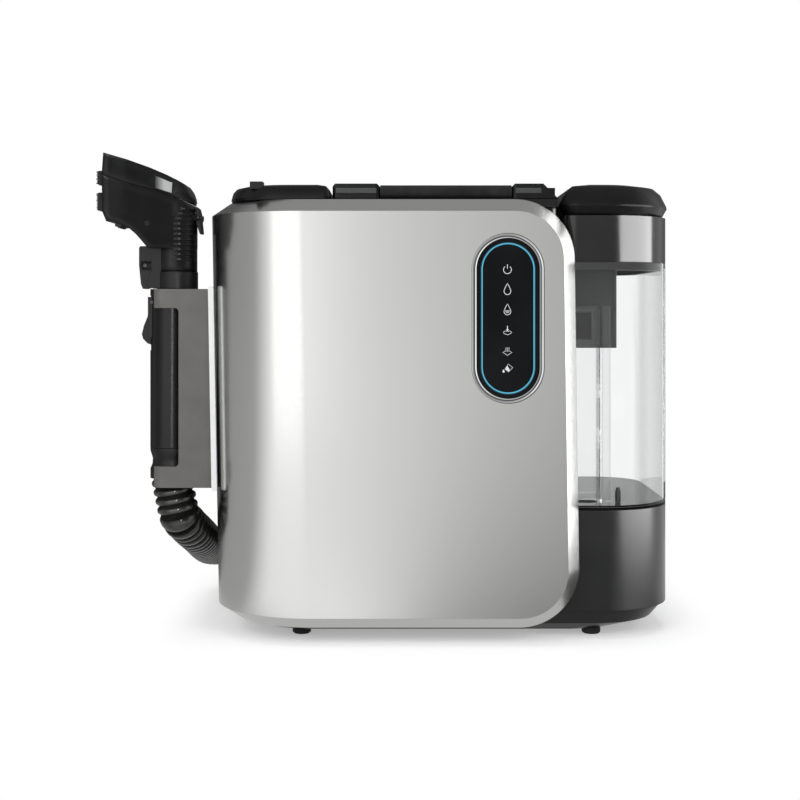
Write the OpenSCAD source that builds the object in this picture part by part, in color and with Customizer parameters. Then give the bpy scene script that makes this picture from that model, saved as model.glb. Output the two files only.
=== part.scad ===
// Steam spot cleaner with two tanks, a handset in a side cradle and a ribbed hose.
// Lengths are in millimetres. While it is drawn, x runs right from the left wall,
// y runs back from the silver front and z runs up from the floor.

/* [Silver shell] */
// Width of the front panel at its top, from the left wall to the right edge
panel_w = 272; // [250:1:290]
// Height of the shell's lower edge above the floor
shell_z = 11; // [9:1:16]
// Height of the shell
shell_h = 313; // [300:1:320]
// How far the left wall leans in at the bottom
body_lean = 5.5; // [2:0.5:8]
// How far the panel's right edge flares out at the bottom
panel_flare = 4.5; // [1:0.5:6]
// Plan radius where the front turns into the left wall
front_r = 74; // [70:1:80]
// Radius of the panel's two right corners
corner_r = 44; // [38:1:50]
// Depth of the broad edge chamfer
chamfer_d = 14; // [10:1:16]
// Height of the broad edge chamfer
chamfer_h = 9.5; // [7:0.5:11]
// Depth of the panel's side return
panel_depth = 23.6; // [22:0.2:23.6]
// How far the left wrap ends short of the back
wrap_back = 22; // [17:1:50]
// Wall of the shell, housings and covers
wall = 2.5; // [2:0.1:3]

/* [Touch panel] */
// Width of the chrome surround
bezel_w = 52.6; // [46:0.2:60]
// Height of the chrome surround
bezel_h = 122.8; // [110:0.2:130]
// Width of the surround's rim
bezel_rim = 3.5; // [2.5:0.1:5]
// Place of the panel's middle across the front
panel_x = 222.8; // [200:0.2:226]
// Height of the panel's middle above the floor
panel_z = 237; // [220:1:245]
// How far the light guide lies inside the glass edge
light_in = 3.1; // [2:0.1:5]
// Width of the light guide
light_w = 1.4; // [1:0.1:2]
// Thickness of the glass
glass_t = 2.4; // [2:0.1:3]

/* [Core] */
// Overall width of the body
body_w = 350; // [340:1:360]
// Overall depth of the body
body_d = 212; // [210:1:216]
// How far the black front stands behind the silver one
core_y = 24; // [24:0.5:26]
// Height of the base's top
base_top = 95; // [90:1:98]
// Height of the base's lower edge
base_z = 21; // [20.5:0.5:23]
// Plan radius of the right front corner
side_r = 52; // [45:1:56]
// Plan radius of the rear corners
rear_r = 40; // [35:1:42]
// Left face of the middle housing
tower_x0 = 98; // [98:0.5:100]
// Right face of the middle housing
tower_x1 = 261; // [259:0.5:261]
// Thickness of the top deck
deck_t = 6; // [5:0.5:7]
// Diameter of a rubber foot
foot_d = 14; // [12:0.5:18]
// Height of a rubber foot
foot_h = 5; // [4:0.5:6]

/* [Clean tank] */
// Left face of the clean tank
clean_x0 = 18; // [17.5:0.5:20]
// Right face of the clean tank
clean_x1 = 95; // [92:0.5:95.5]
// Wall of the clean tank
clean_wall = 2.2; // [1.8:0.1:2.6]
// Height of the clean tank's crowned lid
lid_h = 12.2; // [10:0.2:14]

/* [Dirty tank] */
// Left face of the dirty tank
tank_x0 = 264; // [263:0.5:266]
// Height of the clear tank
tank_h = 183; // [176:1:186]
// Wall of the clear tank
tank_wall = 2.4; // [2:0.1:3]
// Height of the black collar
collar_h = 34.4; // [30:0.2:36]
// Height of the tank's cap
cap_h = 24.2; // [20:0.2:26]
// Width of the clear standpipe
pipe_w = 21; // [18:0.5:24]
// Outer diameter of the small clear tube beside it
tube_d = 7.5; // [6:0.5:8]
// Diameter of the float
float_d = 24; // [18:1:26]
// Travel of the float
float_travel = 36; // [20:1:40]

/* [Carry handle] */
// Width of the handle over its end blocks
handle_w = 168; // [160:1:168]
// Width of one end block
block_w = 35; // [30:1:38]
// Depth of the handle's front bar
bar_d = 24; // [20:1:26]
// Distance from the front bar's middle to the hinge line
handle_reach = 80; // [70:1:90]
// Diameter of the hinge pins
pin_d = 5; // [4:0.5:6]

/* [Handset] */
// Diameter of the handle
grip_d = 33.2; // [30:0.2:33.2]
// Diameter of the neck
neck_d = 31; // [28:0.5:32]
// Inner diameter of the suction tube
suction_d = 22.6; // [20:0.2:23.4]
// Width of the nozzle's mouth
mouth_w = 72; // [60:1:80]
// Height of the cuff's lower edge
cuff_z = 117.5; // [116:0.5:120]
// Height of the handle's top
grip_top = 259; // [256:0.5:259.5]
// Number of grip ridges on each side of the neck
ridges = 10; // [6:1:12]
// Diameter of the trigger pins
trigger_pin_d = 3; // [2.4:0.1:3.4]

/* [Cradle] */
// Thickness of the cradle's arms
arm_t = 3.4; // [3:0.1:4]
// Clearance between the handle and the arms
cradle_gap = 0.5; // [0.4:0.1:0.8]
// How far the arms reach out from the wall
arm_reach = 45; // [36:1:48]
// Radius of the windows' corners
window_r = 2.9; // [1:0.1:4]

/* [Hose] */
// Outer diameter over the ribs
hose_d = 31; // [28:0.5:31]
// Depth of the groove between two ribs
rib_depth = 1.8; // [1:0.1:2.4]
// Spacing of the ribs along the hose
rib_pitch = 7; // [7:0.1:9]
// Inner diameter
hose_bore = 24; // [20:0.5:25]

/* [Hidden] */
$fn = 64;
gap = 0.3;
slice = 0.02;
hull_fn = 40;

shell_top = shell_z + shell_h;
chamfer_k = sqrt(1 / pow(chamfer_d, 2) + 1 / pow(chamfer_h, 2));
deck_z = shell_top - deck_t + gap;
deck_top = deck_z + deck_t;
rear_y = body_d - wall - gap;
wrap_y = body_d - wrap_back;
wrap_x = 60;
tray_z = foot_h;
bezel_y = -1.5;

handset_y = 67.5;
grip_x = -30.4;
neck_x = -26.5;
collar_top = grip_top + 13.4;
cradle_z = 108.7;
cradle_top = grip_top - 0.1;
hinge_y = core_y + 14 + handle_reach;
hinge_z = deck_top + 5.7;
bar_z = deck_top + 1.1;
bar_top = deck_top + 12.2;
block_slope = 12;
block_x0 = tower_x0 - 3;
block_x1 = block_x0 + handle_w;

tank_z = base_top + gap;
tank_top = tank_z + tank_h;
collar_top_z = tank_top + gap + collar_h;
cap_z = collar_top_z + gap;
tank_y1 = body_d - 6;
// The tank's two outer corners, no rounder than the tank is wide
tank_r = min(side_r, body_w - tank_x0 - 14);
tank_back_r = min(rear_r, (body_w - tank_x0 - 6) / 2);
tank_radii = [12, tank_r, tank_back_r, 12];
sep_x0 = tank_x0 + 8;
sep_x1 = sep_x0 + (body_w - sep_x0) / 2;
sep_y0 = core_y + 36;
sep_y1 = tank_y1 - 56;
sep_z = 214;
float_x = sep_x0 + 9;
float_y = tank_y1 - 30;
float_z = 150;

lane_y = body_d + 34;
hook_t = 4;
hook_gap = 2;

// Where the part's own origin lies: under the middle of its box
brush_tip = -81.8;
cap_over = 1;
origin_x = (body_w + cap_over + brush_tip) / 2;
origin_y = (bezel_y + lane_y + hose_d / 2 + hook_gap + hook_t) / 2;

// The round coil on the back: an outer half turn on the right, a smaller one on the left
outer_x = 160;
outer_z = 150;
outer_r = 124;
inner_x = 135;
inner_z = 169;
inner_r = 105;

// Points on an arc of the coil, in equal steps from one angle to another
function arc_points(x, z, r, a0, a1) = [for (a = [a0:22.5:a1]) [x + r * cos(a), lane_y, z + r * sin(a)]];

// The hose's way: from the cuff, back along the left wall, round the rear corner, and round
// the coil to its socket
ROUTE = concat([[-31.5, 67.5, 117.5], [-26, 70, 88], [-21, 85, 75], [-18, 103, 66.5],
    [-16.8, 122, 59.5], [-16.8, 140, 53.5], [-17.2, 158, 48], [-16.4, 177, 42.5], [-10.4, 197, 38.5],
    [3.5, 217, 36], [24, 233, 34], [48, 243, 32], [74, lane_y, 29.5], [100, lane_y, 27.5],
    [130, lane_y, outer_z - outer_r]],
    arc_points(outer_x, outer_z, outer_r, -90, 90),
    arc_points(inner_x, inner_z, inner_r, 90, 270),
    [[145, lane_y, inner_z - inner_r], [155, lane_y, inner_z - inner_r]]);
ROUTE_STEPS = 10;
HOSE_SIDES = 8;
SOCKET = ROUTE[len(ROUTE) - 1];
CUFF_END = ROUTE[0];

function lean(z) = body_lean * (shell_top - z) / shell_h;
function flare(z) = panel_flare * (shell_top - z) / shell_h;
// How far down and in the chamfer reaches on a surface that lies t inside the shell
function edge_h(t) = chamfer_h * (1 + t * chamfer_k - t / chamfer_d);
function edge_d(t) = chamfer_d * (1 + t * chamfer_k - t / chamfer_h);

module place() {
    translate([-origin_x, -origin_y, 0]) children();
}

// Rectangle with its own radius at each corner: front left, front right, rear right, rear left
module plan_rect(x0, y0, x1, y1, r) {
    intersection() {
        translate([x0, y0]) square([x1 - x0, y1 - y0]);
        union() {
            polygon([[x0 + r[0], y0], [x1 - r[1], y0], [x1, y0 + r[1]], [x1, y1 - r[2]],
                [x1 - r[2], y1], [x0 + r[3], y1], [x0, y1 - r[3]], [x0, y0 + r[0]]]);
            translate([x0 + r[0], y0 + r[0]]) circle(r[0]);
            translate([x1 - r[1], y0 + r[1]]) circle(r[1]);
            translate([x1 - r[2], y1 - r[2]]) circle(r[2]);
            translate([x0 + r[3], y1 - r[3]]) circle(r[3]);
        }
    }
}

module plan_plate(x0, y0, x1, y1, r, z, h) {
    translate([0, 0, z]) linear_extrude(h) plan_rect(x0, y0, x1, y1, r);
}

// Upright pill with round ends, lying in the x-z plane from y to y + t
module pill(w, h, y, t) {
    translate([panel_x, y, panel_z]) rotate([-90, 0, 0]) linear_extrude(t) {
        square([w, h - w], center = true);
        translate([0, (h - w) / 2]) circle(w / 2);
        translate([0, -(h - w) / 2]) circle(w / 2);
    }
}

// Extrusion of a side profile in the x-z plane from y0 to y1
module profile_plate(y0, y1) {
    translate([0, y1, 0]) rotate([90, 0, 0]) linear_extrude(y1 - y0) children();
}

module tube(r_out, r_in, h) {
    difference() {
        cylinder(r = r_out, h = h);
        translate([0, 0, -1]) cylinder(r = r_in, h = h + 2);
    }
}

// Outline slices of the body's left wall, inset by a given amount
module wall_slice(z, inset, y_end) {
    translate([lean(z) + front_r, front_r, z - slice / 2])
        cylinder(r = front_r - inset, h = slice, $fn = 2 * hull_fn);
    translate([lean(z) + inset, y_end - slice, z - slice / 2]) cube([wrap_x, slice, slice]);
}

// One right corner of the front panel
module panel_corner(z, t) {
    translate([panel_w - corner_r + flare(z), 0, z]) rotate([-90, 0, 0]) {
        translate([0, 0, t]) cylinder(r = corner_r - edge_h(t), h = slice, $fn = 2 * hull_fn);
        translate([0, 0, edge_d(t)])
            cylinder(r = corner_r - t, h = panel_depth + t - edge_d(t), $fn = 2 * hull_fn);
    }
}

module shell_form(t, y_end) {
    hull() {
        for (up = [0, 1]) {
            z0 = up ? shell_top : shell_z;
            s = up ? -1 : 1;
            wall_slice(z0 + s * t, edge_d(t), y_end);
            wall_slice(z0 + s * edge_h(t), t, y_end);
            panel_corner(z0 + s * corner_r, t);
        }
    }
}

// The opening that the shell's rim leaves at the top or the bottom, inset by t
module rim_opening(z, t, h) {
    x0 = lean(z) + chamfer_d + t;
    r = front_r - chamfer_d - t;
    plan_plate(x0, chamfer_d + t, tower_x1 + 1 - t, body_d + 20, [r, 1, 1, 1], z - h / 2, h);
}

module silver_shell() color("silver") place() {
    difference() {
        shell_form(0, wrap_y);
        shell_form(wall, wrap_y + 1);
        rim_opening(shell_top, wall, 12);
        rim_opening(shell_z, wall, 12);
        translate([wrap_x, panel_depth, -1]) cube([body_w, body_d, shell_top + 40]);
        translate([-20, wrap_y, -1]) cube([body_w, body_d, shell_top + 40]);
        pill(bezel_w - 2 * bezel_rim + 2, bezel_h - 2 * bezel_rim + 2, -5, 15);
    }
}

module panel_bezel() color("gainsboro") place() {
    difference() {
        union() {
            pill(bezel_w, bezel_h, bezel_y, -bezel_y);
            pill(bezel_w - 2 * bezel_rim + 1.6, bezel_h - 2 * bezel_rim + 1.6, -0.5, wall + 2);
        }
        pill(bezel_w - 2 * bezel_rim, bezel_h - 2 * bezel_rim, bezel_y - 1, 20);
    }
}

module touch_panel() color("black") place() {
    glass_w = bezel_w - 2 * bezel_rim - gap;
    glass_h = bezel_h - 2 * bezel_rim - gap;
    difference() {
        pill(glass_w, glass_h, -0.8, glass_t);
        light_band(-1.8, 2, gap / 3);
    }
}

// The closed band of the light guide, from depth y, t deep, with a clearance on both sides
module light_band(y, t, clear) {
    w = bezel_w - 2 * bezel_rim - 2 * light_in;
    h = bezel_h - 2 * bezel_rim - 2 * light_in;
    difference() {
        pill(w + 2 * clear, h + 2 * clear, y, t);
        pill(w - 2 * light_w - 2 * clear, h - 2 * light_w - 2 * clear, y - 1, t + 2);
    }
}

module light_ring() color("deepskyblue") place() light_band(-0.8, 1, 0);

module control_board() color("darkgreen") place() {
    board_y = glass_t + 3;
    difference() {
        union() {
            pill(bezel_w - 2, bezel_h - 2, board_y, 1.6);
            for (z = [-1, 1]) translate([panel_x, -0.8 + glass_t + gap, panel_z + z * 40])
                rotate([-90, 0, 0]) cylinder(d = 6, h = board_y - glass_t + 0.8);
            translate([panel_x - 12, board_y + 1, panel_z - 30]) cube([24, 9, 30]);
            translate([panel_x - 8, board_y + 1, panel_z + 18]) cube([16, core_y - board_y - 1.2, 9]);
        }
        for (z = [-1, 1]) translate([panel_x, board_y - 1, panel_z + z * 52])
            rotate([-90, 0, 0]) cylinder(d = 3.2, h = 4);
    }
}

// Left side of the base, to the tenth, just inside the silver wrap
base_x0 = round(10 * (lean(base_z) + wall + 1.5)) / 10;

// Plan outline of the black base, inset by t
module base_plan(t, z, h) {
    plan_plate(base_x0 + t, core_y + t, body_w - t, rear_y - t,
        [side_r - t, side_r - t, rear_r - t, rear_r - t], z, h);
}

module base_housing() color("#1c1d1f") place() {
    difference() {
        union() {
            difference() {
                base_plan(0, base_z, base_top - base_z);
                base_plan(wall, base_z - 1, base_top - base_z + 1 - wall);
            }
            for (p = base_screws) screw_boss(p);
            // screw bosses that the tray is fastened to
            for (p = boss_places) translate([p[0], p[1], base_z])
                cylinder(r = 5, h = base_top - base_z - wall + 0.5);
        }
        for (p = boss_places) translate([p[0], p[1], base_z - 1]) cylinder(r = 1.6, h = 20);
        for (p = base_screws) screw_hole(p, 3.9);
        // holes for the clean tank's valve, the water line, the motor's air and the tank's inlet
        translate([clean_mid, valve_y, base_top - 5]) cylinder(r = 11.5, h = 10);
        translate([line_x, valve_y, base_top - 5]) cylinder(d = 8, h = 10);
        translate([motor_x, motor_y, base_top - 5]) cylinder(r = 26, h = 10);
        translate([inlet_x, inlet_y, base_top - 5]) cylinder(r = duct_r + 1.2, h = 10);
        translate([socket_x, body_d + 5, SOCKET[2]]) rotate([90, 0, 0]) cylinder(d = socket_d + 0.4, h = 20);
        translate([gland_x, body_d + 5, gland_z]) rotate([90, 0, 0]) cylinder(d = 16.2, h = 20);
    }
}

line_x = 124;
duct_r = 12;
pipe_x0 = sep_x0 + 3;
pipe_y0 = core_y + 14;
inlet_x = pipe_x0 + pipe_w / 2;
inlet_y = (pipe_y0 + sep_y0 - gap) / 2;
clean_mid = (clean_x0 + clean_x1) / 2;
valve_y = body_d - 92;
motor_x = 206;
motor_y = body_d - 92;
boss_places = [[60, 76], [60, body_d - 52], [body_w - 50, 84], [body_w - 50, body_d - 62]];

module tray_plate(inset_l, inset_r, z) {
    x0 = lean(shell_z) + chamfer_d + wall + 2 + inset_l;
    plan_plate(x0, core_y + 2 + inset_l, body_w - 3 - inset_r, rear_y - 2 - inset_l,
        [44, side_r - 4, rear_r - 2, rear_r - 2], z, slice, $fn = hull_fn);
}

module bottom_tray() color("#161718") place() {
    difference() {
        hull() {
            tray_plate(0, 0, base_z - gap - slice);
            tray_plate(2, 8, tray_z + 6);
            tray_plate(10, 28, tray_z);
        }
        hull() {
            translate([0, 0, wall]) tray_plate(4, 4, base_z - gap);
            translate([0, 0, wall]) tray_plate(12, 30, tray_z);
        }
        // air outlet slots under the motor
        for (i = [-4:4]) translate([motor_x + i * 9 - 2, motor_y - 30, tray_z - 1]) cube([4, 60, 8]);
        for (p = foot_places) translate([p[0], p[1], tray_z - 1]) cylinder(d = 5 + 0.1, h = 8);
    }
    for (p = boss_places) translate([p[0], p[1], tray_z + 1]) tube(5, 2, base_z - tray_z - 1 - gap);
}

foot_places = [[71, core_y + 22], [body_w - 61, core_y + 22], [71, body_d - 34], [body_w - 61, body_d - 34]];

module rubber_feet() color("#0e0e0f") place() {
    for (p = foot_places) translate([p[0], p[1], 0]) {
        cylinder(d1 = foot_d - 2, d2 = foot_d, h = 1);
        translate([0, 0, 1]) cylinder(d = foot_d, h = foot_h - 1);
        cylinder(d = 5, h = foot_h + wall);
    }
}

module tower_housing() color("#1c1d1f") place() {
    z0 = base_top + gap;
    h = deck_z - gap - z0;
    difference() {
        plan_plate(tower_x0, core_y, tower_x1, rear_y, [4, 4, 1, 1], z0, h);
        plan_plate(tower_x0 + wall, core_y + wall, tower_x1 - wall, rear_y + 5, [2, 2, 1, 1], z0 - 1, h + 2);
        // suction port towards the dirty tank
        translate([tower_x1 - 5, port_y, port_z]) rotate([0, 90, 0]) cylinder(d = port_d, h = 10);
        // bevel under the rear cover's chamfer
        translate([tower_x0 - 1, 0, 0]) rotate([90, 0, 90]) linear_extrude(tower_x1 - tower_x0 + 2)
            polygon([[rear_y - 9.6, deck_z + 1], [rear_y + 1, deck_z + 1], [rear_y + 1, deck_z - 6.8]]);
    }
    difference() {
        union() {
            for (p = tower_screws) screw_boss(p);
            // shelf that carries the motor, the pump and the boiler
            translate([tower_x0 + 1, core_y + 1, shelf_z - 3])
                cube([tower_x1 - tower_x0 - 2, rear_y - core_y - 2, 3]);
        }
        for (p = tower_screws) screw_hole(p, 3.9);
        translate([motor_x, motor_y, shelf_z - 5]) cylinder(r = 24, h = 8);
        translate([line_x, valve_y, shelf_z - 5]) cylinder(d = 8, h = 8);
    }
}

shelf_z = base_top + gap + 11;

port_y = body_d - 92;
port_z = 296;
port_d = 26;

module top_deck() color("#18191b") place() {
    well_x0 = block_x0 + block_w + 4;
    well_x1 = block_x1 - block_w - 4;
    well_y0 = core_y + 28;
    well_d = 54;
    well_h = 14;
    y0 = chamfer_d + wall + gap;
    difference() {
        union() {
            plan_plate(tower_x0 - 1, y0, tower_x1, body_d - chamfer_d - wall - gap,
                [2, 2, 2, 2], deck_z, deck_t);
            plan_plate(well_x0 - wall, well_y0 - wall, well_x1 + wall, well_y0 + well_d + wall,
                [10, 10, 10, 10], deck_top - well_h - wall, well_h);
        }
        plan_plate(well_x0, well_y0, well_x1, well_y0 + well_d, [8, 8, 8, 8],
            deck_top - well_h, well_h + 1);
    }
    // ears that carry the handle's pins
    for (x = ear_x) difference() {
        translate([x, hinge_y, 0]) profile_ear();
        translate([x - 1, hinge_y, hinge_z]) rotate([0, 90, 0]) cylinder(d = pin_d + 0.1, h = ear_t + 2);
    }
}

ear_t = 8;
arm_w = 14;
ear_x = [block_x0 + 2 + arm_w + 0.6, block_x1 - 2 - arm_w - 0.6 - ear_t];

module profile_ear() {
    rotate([90, 0, 90]) linear_extrude(ear_t) {
        translate([0, hinge_z]) circle(d = 11);
        translate([-7, deck_top - 1]) square([14, hinge_z - deck_top + 1]);
    }
}

// The bail without its pins: front blocks and two arms that end round at the hinge line
module handle_bail() color("#1b1c1e") place() {
    bar_mid = hinge_y - handle_reach;
    arm_r = 4.4;
    difference() {
        union() {
            for (x = [block_x0, block_x1 - block_w]) {
                intersection() {
                    plan_plate(x, bar_mid - bar_d / 2, x + block_w, bar_mid + bar_d / 2,
                        [3, 3, 6, 6], bar_z, bar_top - bar_z);
                    profile_plate(bar_mid - bar_d, bar_mid + bar_d) block_profile(x);
                }
            }
            translate([block_x0 + block_w - 1, bar_mid - 6, bar_z + 1])
                cube([handle_w - 2 * block_w + 2, 12, bar_top - bar_z - 3]);
            for (x = [block_x0 + 2, block_x1 - 2 - arm_w]) {
                translate([x, bar_mid, hinge_z - arm_r]) cube([arm_w, handle_reach, 2 * arm_r]);
                translate([x, hinge_y, hinge_z]) rotate([0, 90, 0]) cylinder(r = arm_r, h = arm_w);
            }
        }
        for (x = [block_x0 + 2, block_x1 - 2 - arm_w])
            translate([x - 5, hinge_y, hinge_z]) rotate([0, 90, 0]) cylinder(d = pin_d, h = arm_w + 6);
        for (i = [0, 1]) inlay(inlay_x[i], inlay_w[i], gap / 3);
    }
}

// Front outline of an end block: the right one slopes down towards the cap
module block_profile(x) {
    slope = x > block_x0 ? block_slope : 2;
    polygon([[x, bar_z], [x + block_w, bar_z], [x + block_w, bar_top - slope], [x + block_w - slope, bar_top],
        [x + 2, bar_top], [x, bar_top - 2]]);
}

inlay_x = [block_x0 + 2.5, block_x1 - block_w + 2.5];
inlay_w = [block_w - 5, block_w - block_slope - 4];

// Light strip let into the front of an end block
module inlay(x, w, clear) {
    translate([x - clear, hinge_y - handle_reach - bar_d / 2 - 1, bar_z + 4 - clear])
        cube([w + 2 * clear, 2 + clear, 4 + 2 * clear]);
}

module handle_inlays() color("#8d8f90") place() {
    intersection() {
        for (i = [0, 1]) inlay(inlay_x[i], inlay_w[i], 0);
        translate([0, hinge_y - handle_reach - bar_d / 2, 0]) cube([body_w, body_d, shell_top + 40]);
    }
}

// Soft sleeve over the middle of the bar
module handle_grip() color("#141516") place() {
    bar_mid = hinge_y - handle_reach;
    x0 = block_x0 + block_w + gap;
    x1 = block_x1 - block_w - gap;
    difference() {
        translate([x0, 0, 0]) rotate([90, 0, 90]) linear_extrude(x1 - x0)
            plan_rect(bar_mid - bar_d / 2 + 0.5, bar_z, bar_mid + bar_d / 2 - 0.5, bar_top - 0.9,
                [4, 4, 4, 4]);
        translate([x0 - 1, bar_mid - 6 - 0.2, bar_z + 0.8])
            cube([x1 - x0 + 2, 12.4, bar_top - bar_z - 2.6]);
    }
}

module handle_pins() color("gray") place() {
    for (side = [0, 1]) {
        x = side ? block_x1 - 2 - arm_w : block_x0 + 2;
        shift = side ? -ear_t - 0.6 : 0;
        translate([x + shift, hinge_y, hinge_z]) rotate([0, 90, 0])
            cylinder(d = pin_d - 0.1, h = arm_w + ear_t + 0.6);
    }
}

// The back of the body: left rear corner and rear wall down to the base's lower edge
module rear_form(t) {
    hull() {
        for (level = [[base_z + gap - t, t], [shell_top - edge_h(t), t], [shell_top - t, edge_d(t)]]) {
            z = level[0];
            inset = level[1];
            y0 = wrap_y + gap - t;
            translate([lean(z) + rear_r, body_d - rear_r, z - slice / 2])
                cylinder(r = rear_r - inset, h = slice, $fn = 2 * hull_fn);
            translate([lean(z) + inset, y0, z - slice / 2]) cube([wrap_x, slice, slice]);
            translate([tower_x1 - slice + t, y0, z - slice / 2]) cube([slice, body_d - inset - y0, slice]);
        }
    }
}

module rear_cover() color("#1a1b1d") place() {
    difference() {
        rear_form(0);
        rear_form(wall);
        translate([-50, -1, -1]) cube([body_w + 100, wrap_y + gap + 1, shell_top + 40]);
        // the top is open inside the rim
        plan_plate(chamfer_d + wall, body_d / 2, tower_x1 + 5, body_d - chamfer_d - wall,
            [1, 1, 1, rear_r - chamfer_d - wall], shell_top - 6, 12);
        // vent slots for the motor's cooling air
        for (i = [0:8]) translate([tower_x0 + 78, body_d - 5, 232 + i * 7]) cube([52, 10, 3.4]);
        // holes for the hose socket, the cord gland and the screws
        translate([socket_x, body_d + 5, SOCKET[2]]) rotate([90, 0, 0]) cylinder(d = socket_d + 0.4, h = 20);
        translate([gland_x, body_d + 5, gland_z]) rotate([90, 0, 0]) cylinder(d = 16.2, h = 20);
        for (p = concat(base_screws, tower_screws)) screw_hole(p, 4);
    }
}

socket_x = SOCKET[0] + 17;
socket_d = 26;

// Hole through the rear wall, or through what the screw goes into
module screw_hole(p, d) {
    translate([p[0], body_d + 5, p[1]]) rotate([90, 0, 0]) cylinder(d = d, h = 24);
}

module screw_boss(p) {
    translate([p[0], rear_y - 1, p[1]]) rotate([90, 0, 0]) cylinder(r = 4.5, h = 13);
}

gland_x = 215;
gland_z = 78;
base_screws = [[60, 60], [246, 80]];
tower_screws = [[tower_x0 + wall + 3.5, 300], [tower_x0 + wall + 3.5, 125],
    [tower_x1 - wall - 3.5, 300], [tower_x1 - wall - 3.5, 125]];

module clean_tank() color("#c9d3d6") place() {
    y0 = core_y + 4;
    y1 = body_d - 18;
    z0 = base_top + 1.5;
    h = shell_top - 0.6 - z0;
    radii = [48, 6, 12, 22];
    inner = [for (r = radii) r - clean_wall];
    difference() {
        union() {
            plan_plate(clean_x0, y0, clean_x1, y1, radii, z0, h);
            translate([clean_mid, valve_y, z0 - 3]) cylinder(r = 11, h = 4);
            // ears for the lid's hinge pin
            for (x = lid_ear_x) translate([x, lid_hinge_y, 0]) rotate([90, 0, 90]) linear_extrude(8)
                lid_ear_profile();
        }
        plan_plate(clean_x0 + clean_wall, y0 + clean_wall, clean_x1 - clean_wall, y1 - clean_wall,
            inner, z0 + clean_wall, h);
        translate([clean_mid, valve_y, z0 - 5]) cylinder(r = 8.2, h = 12);
        translate([0, lid_hinge_y, lid_hinge_z]) rotate([0, 90, 0]) cylinder(d = 3.1, h = body_w);
    }
}

module lid_ear_profile() {
    translate([0, lid_hinge_z]) circle(d = 7);
    polygon([[-3.5, lid_hinge_z], [3.5, lid_hinge_z], [-2, lid_hinge_z - 16], [-3.5, lid_hinge_z - 16]]);
}

lid_hinge_y = body_d - 22;
lid_hinge_z = shell_top + 3;
lid_ear_x = [30, 76];

// Crowned lid built from plan outlines, each with its inset and its height
module crowned(x0, y0, x1, y1, r, z, levels) {
    hull() {
        for (level = levels) {
            i = level[0];
            plan_plate(x0 + i, y0 + i, x1 - i, y1 - i,
                [for (radius = r) max(radius - i, 1)], z + level[1], slice, $fn = hull_fn);
        }
    }
}

module clean_tank_lid() color("#17181a") place() {
    x0 = clean_x0 - 2;
    x1 = clean_x1 - 0.5;
    y0 = chamfer_d + wall + 1;
    y1 = lid_hinge_y + 2;
    z0 = shell_top + gap;
    difference() {
        union() {
            crowned(x0, y0, x1, y1, [46, 6, 6, 20], z0,
                [[0.5, 0], [0, 2], [1.5, lid_h - 5], [4, lid_h - 2.2], [10, lid_h - 0.8], [22, lid_h]]);
            // finger tab at the front edge
            translate([34, y0 + 8, z0 + lid_h - 4]) cube([9.5, 12, 5.5]);
            // spigot that drops into the tank's mouth
            translate([0, 0, z0 - 6]) linear_extrude(7) difference() {
                plan_rect(clean_x0 + clean_wall + 1.2, core_y + clean_wall + 5.2, clean_x1 - clean_wall - 1.2,
                    lid_hinge_y - 12, [44.6, 4, 6, 8]);
                plan_rect(clean_x0 + clean_wall + 4, core_y + clean_wall + 8, clean_x1 - clean_wall - 4,
                    lid_hinge_y - 15, [41.8, 2, 4, 6]);
            }
        }
        // hollow underside
        crowned(x0 + 3, y0 + 3, x1 - 3, lid_hinge_y - 8, [43, 4, 4, 7], z0 - 0.1,
            [[0, -0.2], [1.5, lid_h - 7], [8, lid_h - 3.4]]);
        // slots for the tank's ears and the pin's hole
        for (x = lid_ear_x) translate([x - 0.4, lid_hinge_y - 5, z0 - 1]) cube([8.8, 20, 8.2]);
        translate([0, lid_hinge_y, lid_hinge_z]) rotate([0, 90, 0]) cylinder(d = 3.1, h = body_w);
    }
}

module lid_pin() color("gray") place() {
    translate([clean_x0 + 8, lid_hinge_y, lid_hinge_z]) rotate([0, 90, 0])
        cylinder(d = 3, h = clean_x1 - clean_x0 - 18);
}

module lid_seal() color("#3a3a3c") place() {
    z0 = shell_top + gap - 5;
    translate([0, 0, z0]) linear_extrude(2.4) difference() {
        plan_rect(clean_x0 + clean_wall + 0.4, core_y + clean_wall + 4.4, clean_x1 - clean_wall - 0.4,
            lid_hinge_y - 11.2, [45.4, 4.8, 6.8, 8.8]);
        plan_rect(clean_x0 + clean_wall + 1.2, core_y + clean_wall + 5.2, clean_x1 - clean_wall - 1.2,
            lid_hinge_y - 12, [44.6, 4, 6, 8]);
    }
}

// Spring-loaded valve in the tank's floor
module foot_valve() color("#d8dadb") place() {
    translate([clean_mid, valve_y, base_top - 1.5]) {
        tube(8.1, 6, 8);
        cylinder(d = 6, h = 14);
        translate([0, 0, 5]) cylinder(r = 6.4, h = 1.6);
        translate([0, 0, 12]) cylinder(r = 10, h = 2);
    }
}

// Cup in the base that the valve plugs into
module valve_seat() color("#2b2c2e") place() {
    translate([clean_mid, valve_y, base_top - 24]) {
        difference() {
            union() {
                cylinder(r = 11.2, h = 22);
                cylinder(r = 15, h = 21.2);
            }
            translate([0, 0, 4]) cylinder(r = 9, h = 20);
            translate([6, 0, 8]) rotate([0, 90, 0]) cylinder(d = 5, h = 12);
        }
        translate([0, 0, 3]) cylinder(d = 4, h = 18);
    }
}

// Clear tank with its floor, open at the top
module dirty_tank() color("#dfe8ea88") place() {
    r_in = [for (r = tank_radii) r - tank_wall];
    difference() {
        plan_plate(tank_x0, core_y, body_w, tank_y1, tank_radii, tank_z, tank_h);
        plan_plate(tank_x0 + tank_wall, core_y + tank_wall, body_w - tank_wall, tank_y1 - tank_wall,
            r_in, tank_z + 3, tank_h);
        translate([inlet_x, inlet_y, tank_z - 1]) cylinder(r = 8.5, h = 6);
    }
}

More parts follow.
